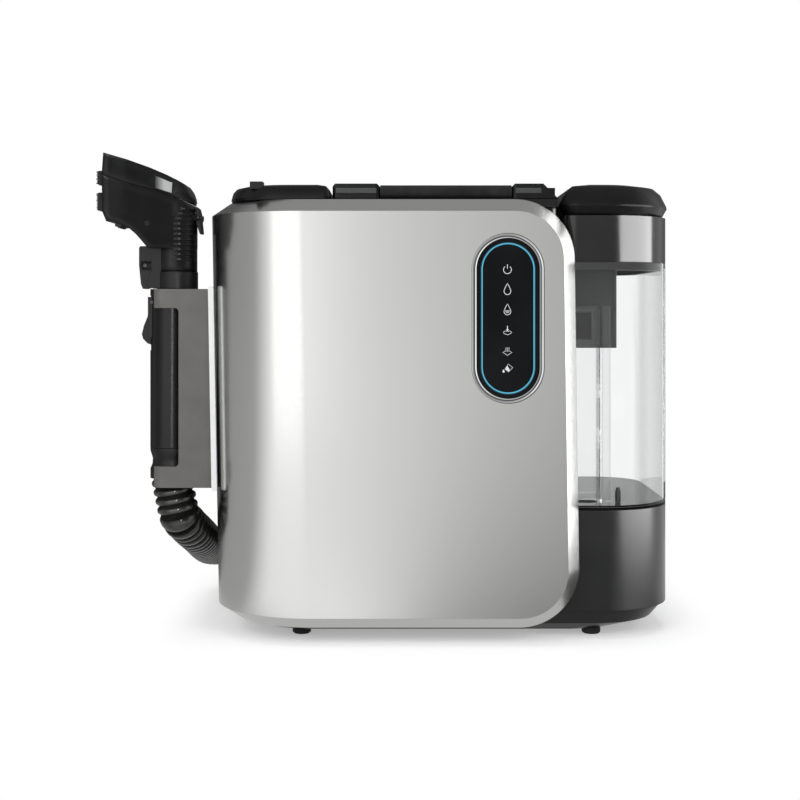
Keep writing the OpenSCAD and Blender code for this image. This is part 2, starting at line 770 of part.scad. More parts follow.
// Black head of the tank: a deep frame with a shelf that the separator hangs from
module tank_collar() color("#1d1e20") place() {
    r_in = [for (r = tank_radii) r - 3];
    r_plug = [for (r = tank_radii) r - tank_wall - gap];
    z0 = tank_top + gap;
    difference() {
        union() {
            plan_plate(tank_x0, core_y, body_w, tank_y1, tank_radii, z0, collar_h);
            plan_plate(tank_x0 + tank_wall + gap, core_y + tank_wall + gap, body_w - tank_wall - gap,
                tank_y1 - tank_wall - gap, r_plug, z0 - 6, 7);
        }
        plan_plate(tank_x0 + 6, core_y + 6, body_w - 6, tank_y1 - 6,
            [for (r = tank_radii) max(r - 6, 2)], z0 - 7, collar_h + 20);
        // port towards the suction duct
        translate([tank_x0 - 5, port_y, port_z]) rotate([0, 90, 0]) cylinder(d = port_d - 4, h = 20);
    }
    // steps that the separator's flange rests on
    translate([tank_x0 + 5, sep_y0 + 10, tank_top + 4.7])
        cube([sep_x0 - gap - tank_x0 - 5, sep_y1 - sep_y0 - 20, 3]);
    translate([body_w - 13, sep_y0 + 20, tank_top + 4.7]) cube([8, sep_y1 - sep_y0 - 30, 3]);
    for (x = cap_ear_x) difference() {
        translate([x, cap_hinge_y, 0]) rotate([90, 0, 90]) linear_extrude(8) {
            translate([0, cap_hinge_z]) circle(d = 6.4);
            translate([-3.2, collar_top_z - 1]) square([6.4, cap_hinge_z - collar_top_z + 1]);
        }
        translate([x - 1, cap_hinge_y, cap_hinge_z]) rotate([0, 90, 0]) cylinder(d = 3.1, h = 12);
    }
}

cap_hinge_y = tank_y1 - 4;
cap_hinge_z = collar_top_z + 3.4;
cap_ear_x = [tank_x0 + 20, tank_x0 + 32];

module tank_cap() color("#17181a") place() {
    x0 = tower_x1 + 2.6;
    difference() {
        crowned(x0, core_y - 1.4, body_w + cap_over, tank_y1 - 8, [14, tank_r + 1, tank_back_r - 6, 14],
            cap_z,
            [[4, 0], [0, 7], [0.4, 9], [4.5, cap_h - 7], [10, cap_h - 2.2], [24, cap_h]]);
        crowned(x0 + 5, core_y + 4, body_w - 5, tank_y1 - 12, [10, tank_r - 5, tank_back_r - 10, 10],
            cap_z - 0.1,
            [[0, -0.2], [0.5, 9], [10, cap_h - 5]]);
    }
    // knuckles round the hinge pin, outside the collar's own two ears
    for (x = [cap_ear_x[0] - 8.4, cap_ear_x[1] + 8.4]) difference() {
        translate([x, 0, 0]) rotate([90, 0, 90]) linear_extrude(8) {
            translate([cap_hinge_y, cap_hinge_z]) circle(d = 5.6);
            polygon([[cap_hinge_y - 10, cap_hinge_z + 2], [cap_hinge_y, cap_hinge_z - 2.8],
                [cap_hinge_y + 2.8, cap_hinge_z], [cap_hinge_y - 2, cap_hinge_z + 10],
                [cap_hinge_y - 10, cap_hinge_z + 12]]);
        }
        translate([x - 1, cap_hinge_y, cap_hinge_z]) rotate([0, 90, 0]) cylinder(d = 3.1, h = 12);
    }
}

module cap_pin() color("gray") place() {
    translate([cap_ear_x[0] - 8.4, cap_hinge_y, cap_hinge_z]) rotate([0, 90, 0]) cylinder(d = 3, h = 36);
}

module cap_seal() color("#3a3a3c") place() {
    z0 = collar_top_z - 3;
    translate([0, 0, z0]) linear_extrude(3) difference() {
        plan_rect(tank_x0 + 6.2, core_y + 6.2, body_w - 6.2, tank_y1 - 12,
            [6, tank_r - 6.2, tank_back_r - 10, 6]);
        plan_rect(tank_x0 + 8.2, core_y + 8.2, body_w - 8.2, tank_y1 - 14,
            [4, tank_r - 8.2, tank_back_r - 12, 4]);
    }
}

// Dark box that parts water from air, with the float's guide rod behind it
module separator() color("#26282b") place() {
    difference() {
        union() {
            plan_plate(sep_x0, sep_y0, sep_x1, sep_y1, [3, 3, 3, 3], sep_z, tank_top - sep_z + 12);
            // flange that rests on the collar's inner step
            translate([tank_x0 + 6.2, sep_y0, tank_top + 8])
                cube([body_w - tank_x0 - 16.2, sep_y1 - sep_y0, 4]);
            translate([float_x, sep_y1 - 4, tank_top - 30]) translate([-5, 0, 0])
                cube([10, float_y - sep_y1 + 8, 5]);
            translate([float_x, float_y, float_z - 8]) cylinder(d = 4, h = tank_top - 26 - float_z + 8);
            translate([float_x, float_y, float_z - 8]) cylinder(d = 9, h = 2);
        }
        plan_plate(sep_x0 + 2, sep_y0 + 2, sep_x1 - 2, sep_y1 - 2, [2, 2, 2, 2], sep_z + 2, 100);
        // air window towards the suction port
        translate([sep_x0 - 10, port_y, port_z - 10]) rotate([0, 90, 0]) cylinder(d = 14, h = 20);
        // inlet from the standpipe
        translate([sep_x0 + 5, sep_y0 - 5, sep_z + 6]) cube([pipe_w - 6, 10, 22]);
    }
}

// Clear rectangular riser and the small clear tube beside it
module standpipe() color("#e6eef088") place() {
    x0 = pipe_x0;
    y0 = pipe_y0;
    z0 = tank_z + 3 + gap;
    z1 = 246;
    difference() {
        union() {
            translate([x0, y0, z0]) cube([pipe_w, sep_y0 - gap - y0, z1 - z0]);
            translate([x0 + pipe_w + 4.4, y0 + 10, z0]) cylinder(d = tube_d, h = z1 - z0);
            translate([x0 + pipe_w - 1, y0 + 9, z1 - 6]) cube([3, 2, 4]);
            translate([x0 + pipe_w - 1, y0 + 9, z0 + 6]) cube([3, 2, 4]);
        }
        translate([x0 + 1.6, y0 + 1.6, z0 - 1]) cube([pipe_w - 3.2, sep_y0 - gap - y0 - 3.2, z1 - z0 - 1]);
        translate([x0 + pipe_w + 4.4, y0 + 10, z0 - 1]) cylinder(d = tube_d - 2, h = z1 - z0 + 2);
        // inlet slot at the foot and outlet towards the separator
        translate([x0 + 3, y0 - 1, z0 - 1]) cube([pipe_w - 6, 4, 9]);
        translate([sep_x0 + 6, sep_y0 - 4, sep_z + 7]) cube([pipe_w - 8, 6, 20]);
    }
}

module tank_post() color("#161718") place() {
    translate([sep_x1 - 2, pipe_y0 + 6, tank_z + 3 + gap]) {
        cylinder(d = 4.4, h = 8);
        translate([0, 0, 8]) cylinder(d1 = 4.4, d2 = 2.4, h = 3);
    }
}

module float() color("#e9e4d8") place() {
    translate([float_x, float_y, float_z - 5.7]) difference() {
        union() {
            cylinder(d = float_d, h = 20);
            translate([0, 0, 20]) cylinder(d1 = float_d, d2 = float_d - 8, h = 4);
        }
        translate([0, 0, -1]) cylinder(d = 4.16, h = 30);
        translate([0, 0, -1]) cylinder(d = float_d - 6, h = 3);
    }
}

// Rubber ring between the middle housing and the tank's port
module port_seal() color("#2e2e30") place() {
    translate([tower_x1 + 0.2, port_y, port_z]) rotate([0, 90, 0])
        tube(port_d / 2 + 2, port_d / 2 - 2, tank_x0 - tower_x1 - 0.5);
}

motor_z = 118;
motor_r = 44;

// Motor can with its fan chamber on top, hollow round the impeller
module vacuum_motor() color("#6e7276") place() {
    translate([motor_x, motor_y, motor_z]) {
        difference() {
            union() {
                cylinder(r = motor_r - 8, h = 46);
                translate([0, 0, 45]) cylinder(r = motor_r, h = 34);
                translate([0, 0, 78]) cylinder(r = 15, h = 12);
            }
            translate([0, 0, 50]) cylinder(r = motor_r - 3, h = 26);
            translate([0, 0, 70]) cylinder(r = 12, h = 30);
            translate([0, 0, 6]) cylinder(d = shaft_d + 0.1, h = 80);
            for (a = [0:30:330]) rotate([0, 0, a]) translate([motor_r - 6, -3, 53]) cube([12, 6, 12]);
            for (a = [0:45:315]) rotate([0, 0, a]) translate([motor_r - 14, -2.5, 10]) cube([12, 5, 24]);
        }
    }
}

shaft_d = 6;

module impeller() color("#b9bcbe") place() {
    fan_r = motor_r - 6;
    translate([motor_x, motor_y, motor_z]) {
        translate([0, 0, 8]) cylinder(d = shaft_d, h = 60);
        translate([0, 0, 53]) cylinder(r = fan_r, h = 1.6);
        difference() {
            translate([0, 0, 65]) cylinder(r = fan_r, h = 1.6);
            translate([0, 0, 64]) cylinder(r = 13, h = 4);
        }
        translate([0, 0, 53]) cylinder(r = 7, h = 14);
        for (a = [0:45:315]) rotate([0, 0, a]) translate([6, -0.8, 54]) rotate([0, 0, -24])
            cube([fan_r - 9, 1.6, 11.5]);
    }
}

module motor_mounts() color("#232324") place() {
    translate([motor_x, motor_y, shelf_z + 0.1]) tube(motor_r - 12, motor_r - 18, motor_z - shelf_z - 0.2);
    translate([motor_x, motor_y, motor_z + 90.1]) tube(17, 12, 6);
}

// Quarter bend of a pipe, from the local x axis round to the local y axis
module pipe_bend(bend_r, r, r_in) {
    rotate_extrude(angle = 90) translate([bend_r, 0]) difference() {
        circle(r);
        circle(r_in);
    }
}

// Two ducts: tank port to fan, and hose socket to the foot of the tank's standpipe
module air_ducts() color("#2c2e31") place() {
    r = duct_r;
    r_in = duct_r - 2;
    x_out = tower_x1 - wall - gap;
    fan_top = motor_z + 96.3;
    translate([motor_x + 20, port_y, port_z]) rotate([0, 90, 0]) tube(r, r_in, x_out - motor_x - 20);
    translate([motor_x + 20, port_y, port_z - 20]) rotate([90, 0, 0]) rotate([0, 0, 90])
        pipe_bend(20, r, r_in);
    translate([motor_x, port_y, fan_top]) tube(r, r_in, port_z - 20 - fan_top);
    translate([motor_x, port_y, fan_top]) tube(r + 4, r_in, 3);
    // lower duct, inside the base
    y_in = body_d - 10 - gap;
    turn = 24;
    rise = 14;
    z = SOCKET[2];
    translate([socket_x, y_in, z]) rotate([90, 0, 0]) tube(r, r_in, y_in - inlet_y - turn);
    translate([socket_x + turn, inlet_y + turn, z]) rotate([0, 0, 180]) pipe_bend(turn, r, r_in);
    translate([socket_x + turn, inlet_y, z]) rotate([0, 90, 0])
        tube(r, r_in, inlet_x - rise - socket_x - turn);
    translate([inlet_x - rise, inlet_y, z + rise]) rotate([90, 0, 0]) rotate([0, 0, -90])
        pipe_bend(rise, r, r_in);
    translate([inlet_x, inlet_y, z + rise]) tube(r, r_in, base_top - 1 - z - rise);
}

module water_pump() color("#c7c9ca") place() {
    translate([heater_x, pump_y, shelf_z + 0.2]) {
        translate([-15, -23, 0]) cube([30, 46, 3]);
        translate([-13, -19, 3]) cube([26, 38, 26]);
        translate([0, 0, 29]) cylinder(d = 20, h = 22);
        translate([0, 0, 51]) cylinder(d = 6, h = 7);
    }
}

heater_x = 130;
heater_y = 72;
pump_y = body_d - 47;

// Upright boiler: vessel, flanged lid, two terminals and a foot
module steam_boiler() color("#a9abad") place() {
    translate([heater_x, heater_y, shelf_z + 0.2]) {
        translate([0, 0, 10]) cylinder(r = 22, h = 80);
        translate([0, 0, 86]) cylinder(r = 26, h = 6);
        translate([0, 0, 92]) cylinder(r = 10, h = 6);
        translate([0, 0, 98]) cylinder(d = 6, h = 6);
        for (x = [-15, 15]) translate([x, 0, 92]) cylinder(d = 4, h = 12);
        for (a = [45, 135, 225, 315]) rotate([0, 0, a]) translate([22, 0, 0]) cylinder(d = 7, h = 88);
    }
}

// Quarter bend of a water line, from the local x axis round to the local y axis
module bend(r, line_r) {
    rotate_extrude(angle = 90) translate([r, 0]) circle(line_r);
}

module water_lines() color("#d9dcdd") place() {
    line_r = 2.4;
    turn = 8;
    z_low = base_top - 16;
    z_in = shelf_z + 14;
    z_head = shelf_z + 58.5;
    z_over = 234;
    // from the valve's cup, up through the base's top and into the pump's side
    translate([clean_mid + 15.3, valve_y, z_low]) rotate([0, 90, 0])
        cylinder(r = line_r, h = line_x - turn - clean_mid - 15.3);
    translate([line_x - turn, valve_y, z_low + turn]) rotate([90, 0, 0]) rotate([0, 0, -90])
        bend(turn, line_r);
    translate([line_x, valve_y, z_low + turn]) cylinder(r = line_r, h = z_in - z_low - 2 * turn);
    translate([line_x, valve_y + turn, z_in - turn]) rotate([90, 0, -90]) bend(turn, line_r);
    translate([line_x, valve_y + turn, z_in]) rotate([-90, 0, 0])
        cylinder(r = line_r, h = pump_y - 19.3 - valve_y - turn);
    // from the pump's head up and over to the boiler's lid
    translate([heater_x, pump_y, z_head]) cylinder(r = line_r, h = z_over - turn - z_head);
    translate([heater_x, pump_y - turn, z_over - turn]) rotate([90, 0, 90]) bend(turn, line_r);
    translate([heater_x, pump_y - turn, z_over]) rotate([90, 0, 0])
        cylinder(r = line_r, h = pump_y - 2 * turn - heater_y);
    translate([heater_x, heater_y + turn, z_over - turn]) rotate([90, 0, 90]) rotate([0, 0, 90])
        bend(turn, line_r);
    translate([heater_x, heater_y, shelf_z + 104.5]) cylinder(r = line_r,
        h = z_over - turn - shelf_z - 104.5);
}

module power_board() color("#1f5f36") place() {
    translate([tower_x0 + 62, rear_y - 10, shelf_z + 0.5]) {
        cube([86, 1.8, 96]);
        translate([10, -16, 12]) cube([24, 16, 20]);
        translate([44, -14, 16]) cube([14, 14, 30]);
        translate([22, 0, 58]) rotate([90, 0, 0]) cylinder(d = 14, h = 22);
        translate([64, 0, 66]) rotate([90, 0, 0]) cylinder(d = 10, h = 18);
        for (x = [6, 80]) translate([x, 1.8, 6]) rotate([-90, 0, 0]) cylinder(d = 6, h = 8);
        for (x = [6, 80]) translate([x, 1.8, 90]) rotate([-90, 0, 0]) cylinder(d = 6, h = 8);
    }
}

grip_r = grip_d / 2;
arm_in = grip_r + cradle_gap;

// Grey cradle: a channel open to the left, with a window in each arm
module handset_cradle() color("#6c6b67") place() {
    window_z0 = cradle_z + 16;
    window_z1 = cradle_top - 14.4;
    tip = -arm_reach;
    h = cradle_top - cradle_z;
    difference() {
        union() {
            for (side = [0, 1]) translate([0, handset_y, cradle_z]) mirror([0, side, 0])
                linear_extrude(h) arm_plan(tip);
            // foot that follows the body's wall
            translate([web_x, handset_y - arm_in - arm_t, cradle_z])
                cube([20, 2 * arm_in + 2 * arm_t + 20, h]);
        }
        // windows in both arms
        translate([tip - 5, handset_y + 60, window_z0]) rotate([90, 0, 0]) linear_extrude(120)
            plan_rect(0, 0, arm_reach + 5 - 22.2, window_z1 - window_z0, [1, window_r, window_r, 1]);
        // room for the body's wall
        wall_room(0.25);
        // the foot is hollow between its edges
        translate([web_x + 3, handset_y - arm_in + 2, cradle_z + 4]) cube([30, 2 * arm_in + 6, h - 8]);
    }
    // ledges under the cuff's rim, inside both arms
    intersection() {
        for (side = [-1, 1]) translate([grip_x - 5, handset_y + side * 17 - 1.1, cuff_z - 5])
            cube([10, 2.2, 10]);
        under_cuff(gap);
    }
}

web_x = grip_x + grip_r + cradle_gap;

// Plan of one arm: straight inside, thinning in an arc towards its tip
module arm_plan(tip) {
    bow = 12;
    difference() {
        translate([tip, arm_in]) square([web_x + 1 - tip, arm_t]);
        difference() {
            translate([tip - 1, arm_in - 1]) square([bow + 1, arm_t + 3]);
            translate([tip + bow, arm_in + arm_t - bow]) circle(bow);
        }
    }
}

// Solid that stands for the left wall's outside, grown by a clearance
module wall_room(clear) {
    hull() {
        for (z = [shell_z, shell_top]) {
            translate([lean(z) + front_r, front_r, z]) cylinder(r = front_r + clear, h = slice,
                $fn = 2 * hull_fn);
            translate([lean(z) - clear, wrap_y, z]) cube([wrap_x, slice, slice]);
        }
    }
}

// Bright strip along the cradle's front edge, leaning with the wall
module cradle_trim() color("white") place() {
    strip_w = 4.1;
    h = cradle_top - cradle_z + 4;
    translate([lean(0) - 0.5, handset_y - arm_in - arm_t - 0.3, 0])
        rotate([0, -atan(body_lean / shell_h), 0]) translate([strip_w / 2, 0, cradle_z - 2 + h / 2])
            rotate([90, 0, 0]) linear_extrude(4.2) {
                square([strip_w, h - strip_w], center = true);
                translate([0, (h - strip_w) / 2]) circle(d = strip_w);
                translate([0, -(h - strip_w) / 2]) circle(d = strip_w);
            }
}

module handset_handle() color("#1e1f21") place() {
    z0 = cuff_z + 20.5;
    difference() {
        union() {
            translate([grip_x, handset_y, z0]) cylinder(r = grip_r, h = grip_top - z0);
            // cheeks on both sides of the spray trigger
            for (side = [-1, 1]) translate([grip_x - grip_r - 0.4, handset_y + side * 8.2 - 1.2, 222])
                cube([8, 2.4, 31]);
        }
        translate([grip_x, handset_y, z0 - 1]) cylinder(d = suction_d + 3.2, h = 200);
        translate([grip_x - grip_r - 5, handset_y - 7, 212]) cube([12, 14, 42]);
        translate([spray_pin_x, handset_y + 15, spray_pin_z]) rotate([90, 0, 0])
            cylinder(d = trigger_pin_d, h = 30);
    }
}

spray_pin_x = grip_x - grip_r + 2.2;
spray_pin_z = 249;
steam_pin_x = -49.6;
steam_pin_z = 277;
latch_x = -9.2;
latch_z = 313.6;
latch_pin_d = 1.4;

module handset_collar() color("#1a1b1d") place() {
    translate([neck_x, handset_y, grip_top + 0.3]) {
        difference() {
            cylinder(r = neck_d / 2 + 0.4, h = collar_top - grip_top - 0.6);
            translate([0, 0, -1]) cylinder(d = suction_d + 3.2, h = 20);
        }
    }
}

// Waisted cuff whose lower end is cut square to the hose
module hose_cuff() color("#202123") place() {
    h = 20.2;
    r = grip_r - 0.1;
    difference() {
        translate([grip_x, handset_y, cuff_z]) rotate_extrude() difference() {
            polygon([[0, -5], [r, -5], [r, 4], [r - 1.6, 8], [r - 1.8, 12], [r, 18], [r, h], [0, h]]);
            square([hose_bore / 2, 2 * h + 5], center = true);
        }
        under_cuff(-0.1);
    }
}

// Space just below the cuff's slanted end, which is square to the hose
module under_cuff(drop) {
    d = ROUTE[1] - ROUTE[0];
    tilt = acos(-d[2] / norm(d));
    turn = atan2(d[1], d[0]);
    translate(CUFF_END) rotate([0, 0, turn]) rotate([0, -tilt, 0]) translate([-40, -40, -40 - drop])
        cube([80, 80, 40]);
}

module suction_tube() color("#2a2b2d") place() {
    translate([grip_x + 1.9, handset_y, cuff_z + 21]) tube(suction_d / 2 - 1, suction_d / 2 - 2.6, 174);
}

// Side outline of the head: its top edge, the seam and the underside, front to back
head_top = [[-76, 360.4], [-59.6, 355.8], [-43.6, 350.4], [-31.5, 345.4], [-23.4, 341.4],
    [-18, 337.8], [-14.6, 333.2], [-12.4, 328.4], [-11.4, 323]];
seam = [[-77.2, 343.8], [-59.6, 338.2], [-39.9, 333.4], [-28.4, 330], [-11.4, 322.4]];
underside = [[-42, 290], [-45, 290], [-49.4, 295.7], [-53, 300], [-57.4, 304], [-63.6, 307.2], [-69.1, 309.2],
    [-73.9, 309.2], [-76.6, 316]];

function shifted(points, dz) = [for (p = points) [p[0], p[1] + dz]];
function backwards(points) = [for (i = [len(points) - 1:-1:0]) points[i]];

// Plan of the head: round over the neck, wide at the mouth
module head_plan(t) {
    r = neck_d / 2 - t;
    half = mouth_w / 2 - t;
    translate([neck_x, handset_y]) circle(r);
    polygon([[-90, handset_y - half - 1], [-58, handset_y - half + 5], [neck_x, handset_y - r],
        [neck_x, handset_y + r], [-58, handset_y + half - 5], [-90, handset_y + half + 1]]);
}

module head_part(t) {
    intersection() {
        profile_plate(handset_y - mouth_w, handset_y + mouth_w) children();
        translate([0, 0, 200]) linear_extrude(220) head_plan(t);
    }
}

module nozzle_body() color("#1b1c1e") place() {
    difference() {
        union() {
            head_part(0) polygon(concat(shifted(seam, -0.15), [[-11, 290]], underside));
            translate([neck_x, handset_y, collar_top]) cylinder(d = neck_d - 0.3, h = 30);
            for (i = [0:ridges - 1]) grip_ridge(i);
            // side plates that carry the steam trigger's pin
            for (side = [-1, 1]) translate([steam_pin_x - 3, handset_y + side * 9.3 - 0.8, steam_pin_z - 3.2])
                cube([neck_x - steam_pin_x - 6, 1.6, 6.4]);
            // ears that carry the latch's pin
            for (side = [-1, 1]) translate([neck_x + 9, handset_y + side * 8.2 - 0.8, latch_z - 2])
                cube([latch_x + 2 - neck_x - 9, 1.6, 4]);
        }
        // suction way: up the neck and forward to the mouth
        translate([neck_x, handset_y, collar_top - 1]) cylinder(d = suction_d + 3.2, h = 44);
        translate([latch_x, handset_y + 20, latch_z]) rotate([90, 0, 0]) cylinder(d = latch_pin_d, h = 40);
        head_part(2.4) polygon([[-95, 318.5], [-95, 343], [-76, 340.6], [-59, 335.4], [-40, 330.4],
            [-26, 324],
            [-26, 304], [-40, 304], [-48, 308], [-58, 312.5], [-70, 316], [-77, 318.5]]);
        translate([steam_pin_x, handset_y + 20, steam_pin_z]) rotate([90, 0, 0])
            cylinder(d = trigger_pin_d, h = 40);
        // room for the steam trigger and the latch
        translate([-60, handset_y - 8.4, 240]) cube([17.5, 16.8, 52.6]);
        latch_pocket();
    }
}

// Low raised ridge across the neck's side, shorter from one to the next
module grip_ridge(i) {
    z = 320 - i * 3.85;
    reach = 15.5 - i * 0.8;
    for (side = [-1, 1]) translate([-14.4 - reach, handset_y + side * (neck_d / 2 - 4.6) - 2, z - 0.9])
        intersection() {
        cube([reach, 4, 1.8]);
        translate([neck_x + 14.4 + reach, 2 - side * (neck_d / 2 - 4.6), -1])
            cylinder(d = neck_d + 1.4, h = 5);
    }
}

module nozzle_cover() color("#131415") place() {
    difference() {
        head_part(0) polygon(concat(head_top, backwards(shifted(seam, 0.15))));
        head_part(2.2) polygon([[-72, 345], [-72, 356.6], [-59, 353], [-43, 347.6], [-31, 342.4], [-22, 338],
            [-22, 331], [-31, 334.4], [-42, 337.4], [-59, 341.2]]);
        window_room(0.15);
        latch_pocket();
    }
}

module latch_pocket() {
    translate([-12.6, handset_y - 7.3, latch_z + 2.4]) cube([5, 14.6, 9]);
}

// Space of the window that lets the dirt be seen
module window_room(clear) {
    profile_plate(handset_y - mouth_w, handset_y + mouth_w) polygon([[-39.8 - clear, 335.2 - clear],
        [-28.2 + clear, 331.8 - clear], [-27.6 + clear, 339.4 + clear], [-39.8 - clear, 344.4 + clear]]);
}

module nozzle_window() color("#d5d7d8") place() {
    intersection() {
        difference() {
            head_part(0.2) translate([-200, 200]) square(400);
            head_part(2.2) translate([-200, 200]) square(400);
        }
        window_room(0);
    }
}

BRISTLES = 43;
brush_rows = [[321.5, 4], [340, 3]];

// Two brush strips at the mouth, each a backing bar and three rows of bristles
module nozzle_brush() color("#0d0d0e") place() {
    for (row = brush_rows) translate([0, 0, row[0]]) {
        translate([-78.6, handset_y - mouth_w / 2 + 1, -1.4]) cube([1.2, mouth_w - 2, row[1] * 2.4 + 1.6]);
        for (k = [0:row[1] - 1]) for (i = [0:BRISTLES - 1])
            translate([-77.6, handset_y - 32 + i * 64 / (BRISTLES - 1) + (k % 2) * 0.5, 0.5 + k * 2.4])
                rotate([0, -90, 0]) cylinder(d = 0.9, h = -77.6 - brush_tip, $fn = 3);
    }
}

// Steam outlet under the mouth
module steam_jet() color("#333436") place() {
    profile_plate(handset_y - 14, handset_y + 14)
        polygon([[-71.5, 306.6], [-66.5, 306.6], [-66.5, 307.9], [-69.1, 308.9], [-71.5, 308.9]]);
    for (y = [-8, 0, 8]) translate([-69, handset_y + y, 305.6]) cylinder(d = 3, h = 1.4);
}

module steam_trigger() color("#232426") place() {
    difference() {
        profile_plate(handset_y - 8, handset_y + 8) polygon([[-54.4, 290.6], [-53.4, 291.8], [-46, 291.8],
            [-43.8, 286], [-43.6, 280], [-43.6, 272], [-47, 268.6],
                [-47.6, 260], [-50, 259.2], [-51.6, 259.2],
            [-53, 263], [-54.4, 277]]);
        translate([steam_pin_x, handset_y + 10, steam_pin_z]) rotate([90, 0, 0])
            cylinder(d = trigger_pin_d + 0.1, h = 20);
    }
}

module spray_trigger() color("#232426") place() {
    difference() {
        profile_plate(handset_y - 6.4, handset_y + 6.4) union() {
            polygon([[-46.2, 251], [-47.4, 245], [-48.2, 238], [-51, 231], [-52.6, 224.6], [-51.6, 221],
                [-48.4, 217.6], [-45.4, 216.4], [-45, 221], [-45.4, 233], [-43.4, 241], [-42.6, 250]]);
            translate([spray_pin_x, spray_pin_z]) circle(3);
        }
        translate([spray_pin_x, handset_y + 10, spray_pin_z]) rotate([90, 0, 0])
            cylinder(d = trigger_pin_d + 0.1, h = 20);
    }
}

module trigger_pins() color("gray") place() {
    translate([spray_pin_x, handset_y + 9, spray_pin_z]) rotate([90, 0, 0])
        cylinder(d = trigger_pin_d, h = 18);
    translate([steam_pin_x, handset_y + 9.6, steam_pin_z]) rotate([90, 0, 0])
        cylinder(d = trigger_pin_d, h = 19.2);
    translate([latch_x, handset_y + 9, latch_z]) rotate([90, 0, 0]) cylinder(d = latch_pin_d, h = 18);
}

module trigger_springs() color("silver") place() {
    translate([-45.4, handset_y, 264]) rotate([0, 90, 0]) tube(2, 1.3, 2.8);
    translate([-41, handset_y, 235]) rotate([0, 90, 0]) tube(2.4, 1.7, 1.9);
}

// Lever at the back of the head that frees the nozzle
module nozzle_latch() color("#1a1b1d") place() {
    difference() {
        profile_plate(handset_y - 7, handset_y + 7) union() {
            polygon([[-10.8, 322], [-9.2, 320.6], [-7.6, 314], [-7.6, 309.4], [-6.8, 301.6], [-8.2, 301.2],
                [-10.6, 308.6], [-10.9, 313.6]]);
        }
        translate([latch_x, handset_y + 10, latch_z]) rotate([90, 0, 0])
            cylinder(d = latch_pin_d + 0.1, h = 20);
    }
}

// Smooth curve through the route: cubic pieces whose ends run straight
function route_tangent(i) = i == 0 ? ROUTE[1] - ROUTE[0]
    : i == 1 ? unit(ROUTE[1] - ROUTE[0]) * norm(ROUTE[2] - ROUTE[1])
    : i == len(ROUTE) - 2 ? unit(ROUTE[i + 1] - ROUTE[i]) * norm(ROUTE[i] - ROUTE[i - 1])
    : i == len(ROUTE) - 1 ? ROUTE[i] - ROUTE[i - 1]
    : (ROUTE[i + 1] - ROUTE[i - 1]) / 2;
function unit(v) = v / norm(v);
function cubic(a, ta, b, tb, t) = (2 * pow(t, 3) - 3 * pow(t, 2) + 1)
    * a + (pow(t, 3) - 2 * pow(t, 2) + t) * ta
    + (3 * pow(t, 2) - 2 * pow(t, 3)) * b + (pow(t, 3) - pow(t, 2)) * tb;
curve = [for (i = [0:len(ROUTE) - 2]) for (k = [0:ROUTE_STEPS - 1])
    cubic(ROUTE[i], route_tangent(i), ROUTE[i + 1], route_tangent(i + 1), k / ROUTE_STEPS), SOCKET];
travelled = [for (i = 0, s = 0; i < len(curve);
    s = s + (i + 1 < len(curve) ? norm(curve[i + 1] - curve[i]) : 0), i = i + 1) s];
hose_length = travelled[len(travelled) - 1];
curve_x = [for (i = [0:len(curve) - 1]) [travelled[i], curve[i][0]]];
curve_y = [for (i = [0:len(curve) - 1]) [travelled[i], curve[i][1]]];
curve_z = [for (i = [0:len(curve) - 1]) [travelled[i], curve[i][2]]];
function at(s) = [lookup(s, curve_x), lookup(s, curve_y), lookup(s, curve_z)];
function heading(s) = unit(at(min(s + 1.5, hose_length)) - at(max(s - 1.5, 0)));
end_run = 2;
rib_count = floor((hose_length - 2 * end_run) / rib_pitch);
rib_step = (hose_length - 2 * end_run) / rib_count;
// Stations of the outer rings: [distance, radius]; a rib is two rings, its crest and the groove after it
outer = [[0, hose_d / 2 - rib_depth],
    for (i = [0:rib_count - 1]) each [[end_run + (i + 0.25) * rib_step, hose_d / 2],
        [end_run + (i + 0.75) * rib_step, hose_d / 2 - rib_depth]],
    [hose_length, hose_d / 2 - rib_depth]];
inner = [for (i = [0:floor(rib_count / 2)]) [hose_length * (1 - i / floor(rib_count / 2)), hose_bore / 2]];
// A frame that never turns about the hose: each ring's first side is carried along the curve
function carried(side, dir) = unit(side - (side * dir) * dir);
function frames(stations, side, i = 0) = i >= len(stations) ? []
    : let (dir = heading(stations[i][0]), s = carried(side, dir))
        concat([[s, cross(dir, s)]], frames(stations, s, i + 1));
function ring(station, frame) = [for (k = [0:HOSE_SIDES - 1]) let (a = (k + 0.5) * 360 / HOSE_SIDES)
    at(station[0]) + station[1] / cos(180 / HOSE_SIDES) * (cos(a) * frame[0] + sin(a) * frame[1])];

module hose() color("#1f1f1f") place() {
    stations = concat(outer, inner);
    first = [0, 1, 0];
    out_frames = frames(outer, first);
    in_frames = backwards(frames(backwards(inner), first));
    all_frames = concat(out_frames, in_frames);
    n = len(stations);
    points = [for (i = [0:n - 1]) each ring(stations[i], all_frames[i])];
    faces = [for (i = [0:n - 1]) for (k = [0:HOSE_SIDES - 1]) let (j = (i + 1) % n, l = (k + 1) % HOSE_SIDES,
        a = i * HOSE_SIDES + k, b = i * HOSE_SIDES + l, c = j * HOSE_SIDES + l, d = j * HOSE_SIDES + k)
        each [[a, c, b], [a, d, c]]];
    polyhedron(points, faces, convexity = 8);
}

// Least distance between stretches of the hose that aren't neighbours, less its diameter
probe = [for (i = [0:6:len(curve) - 1]) i];
self_gap = min([for (i = probe) for (j = probe) if (travelled[j] - travelled[i] > 3 * hose_d)
    norm(curve[j] - curve[i])]) - hose_d;
echo(hose_length = hose_length, ribs = rib_count, least_gap = self_gap);  // hose

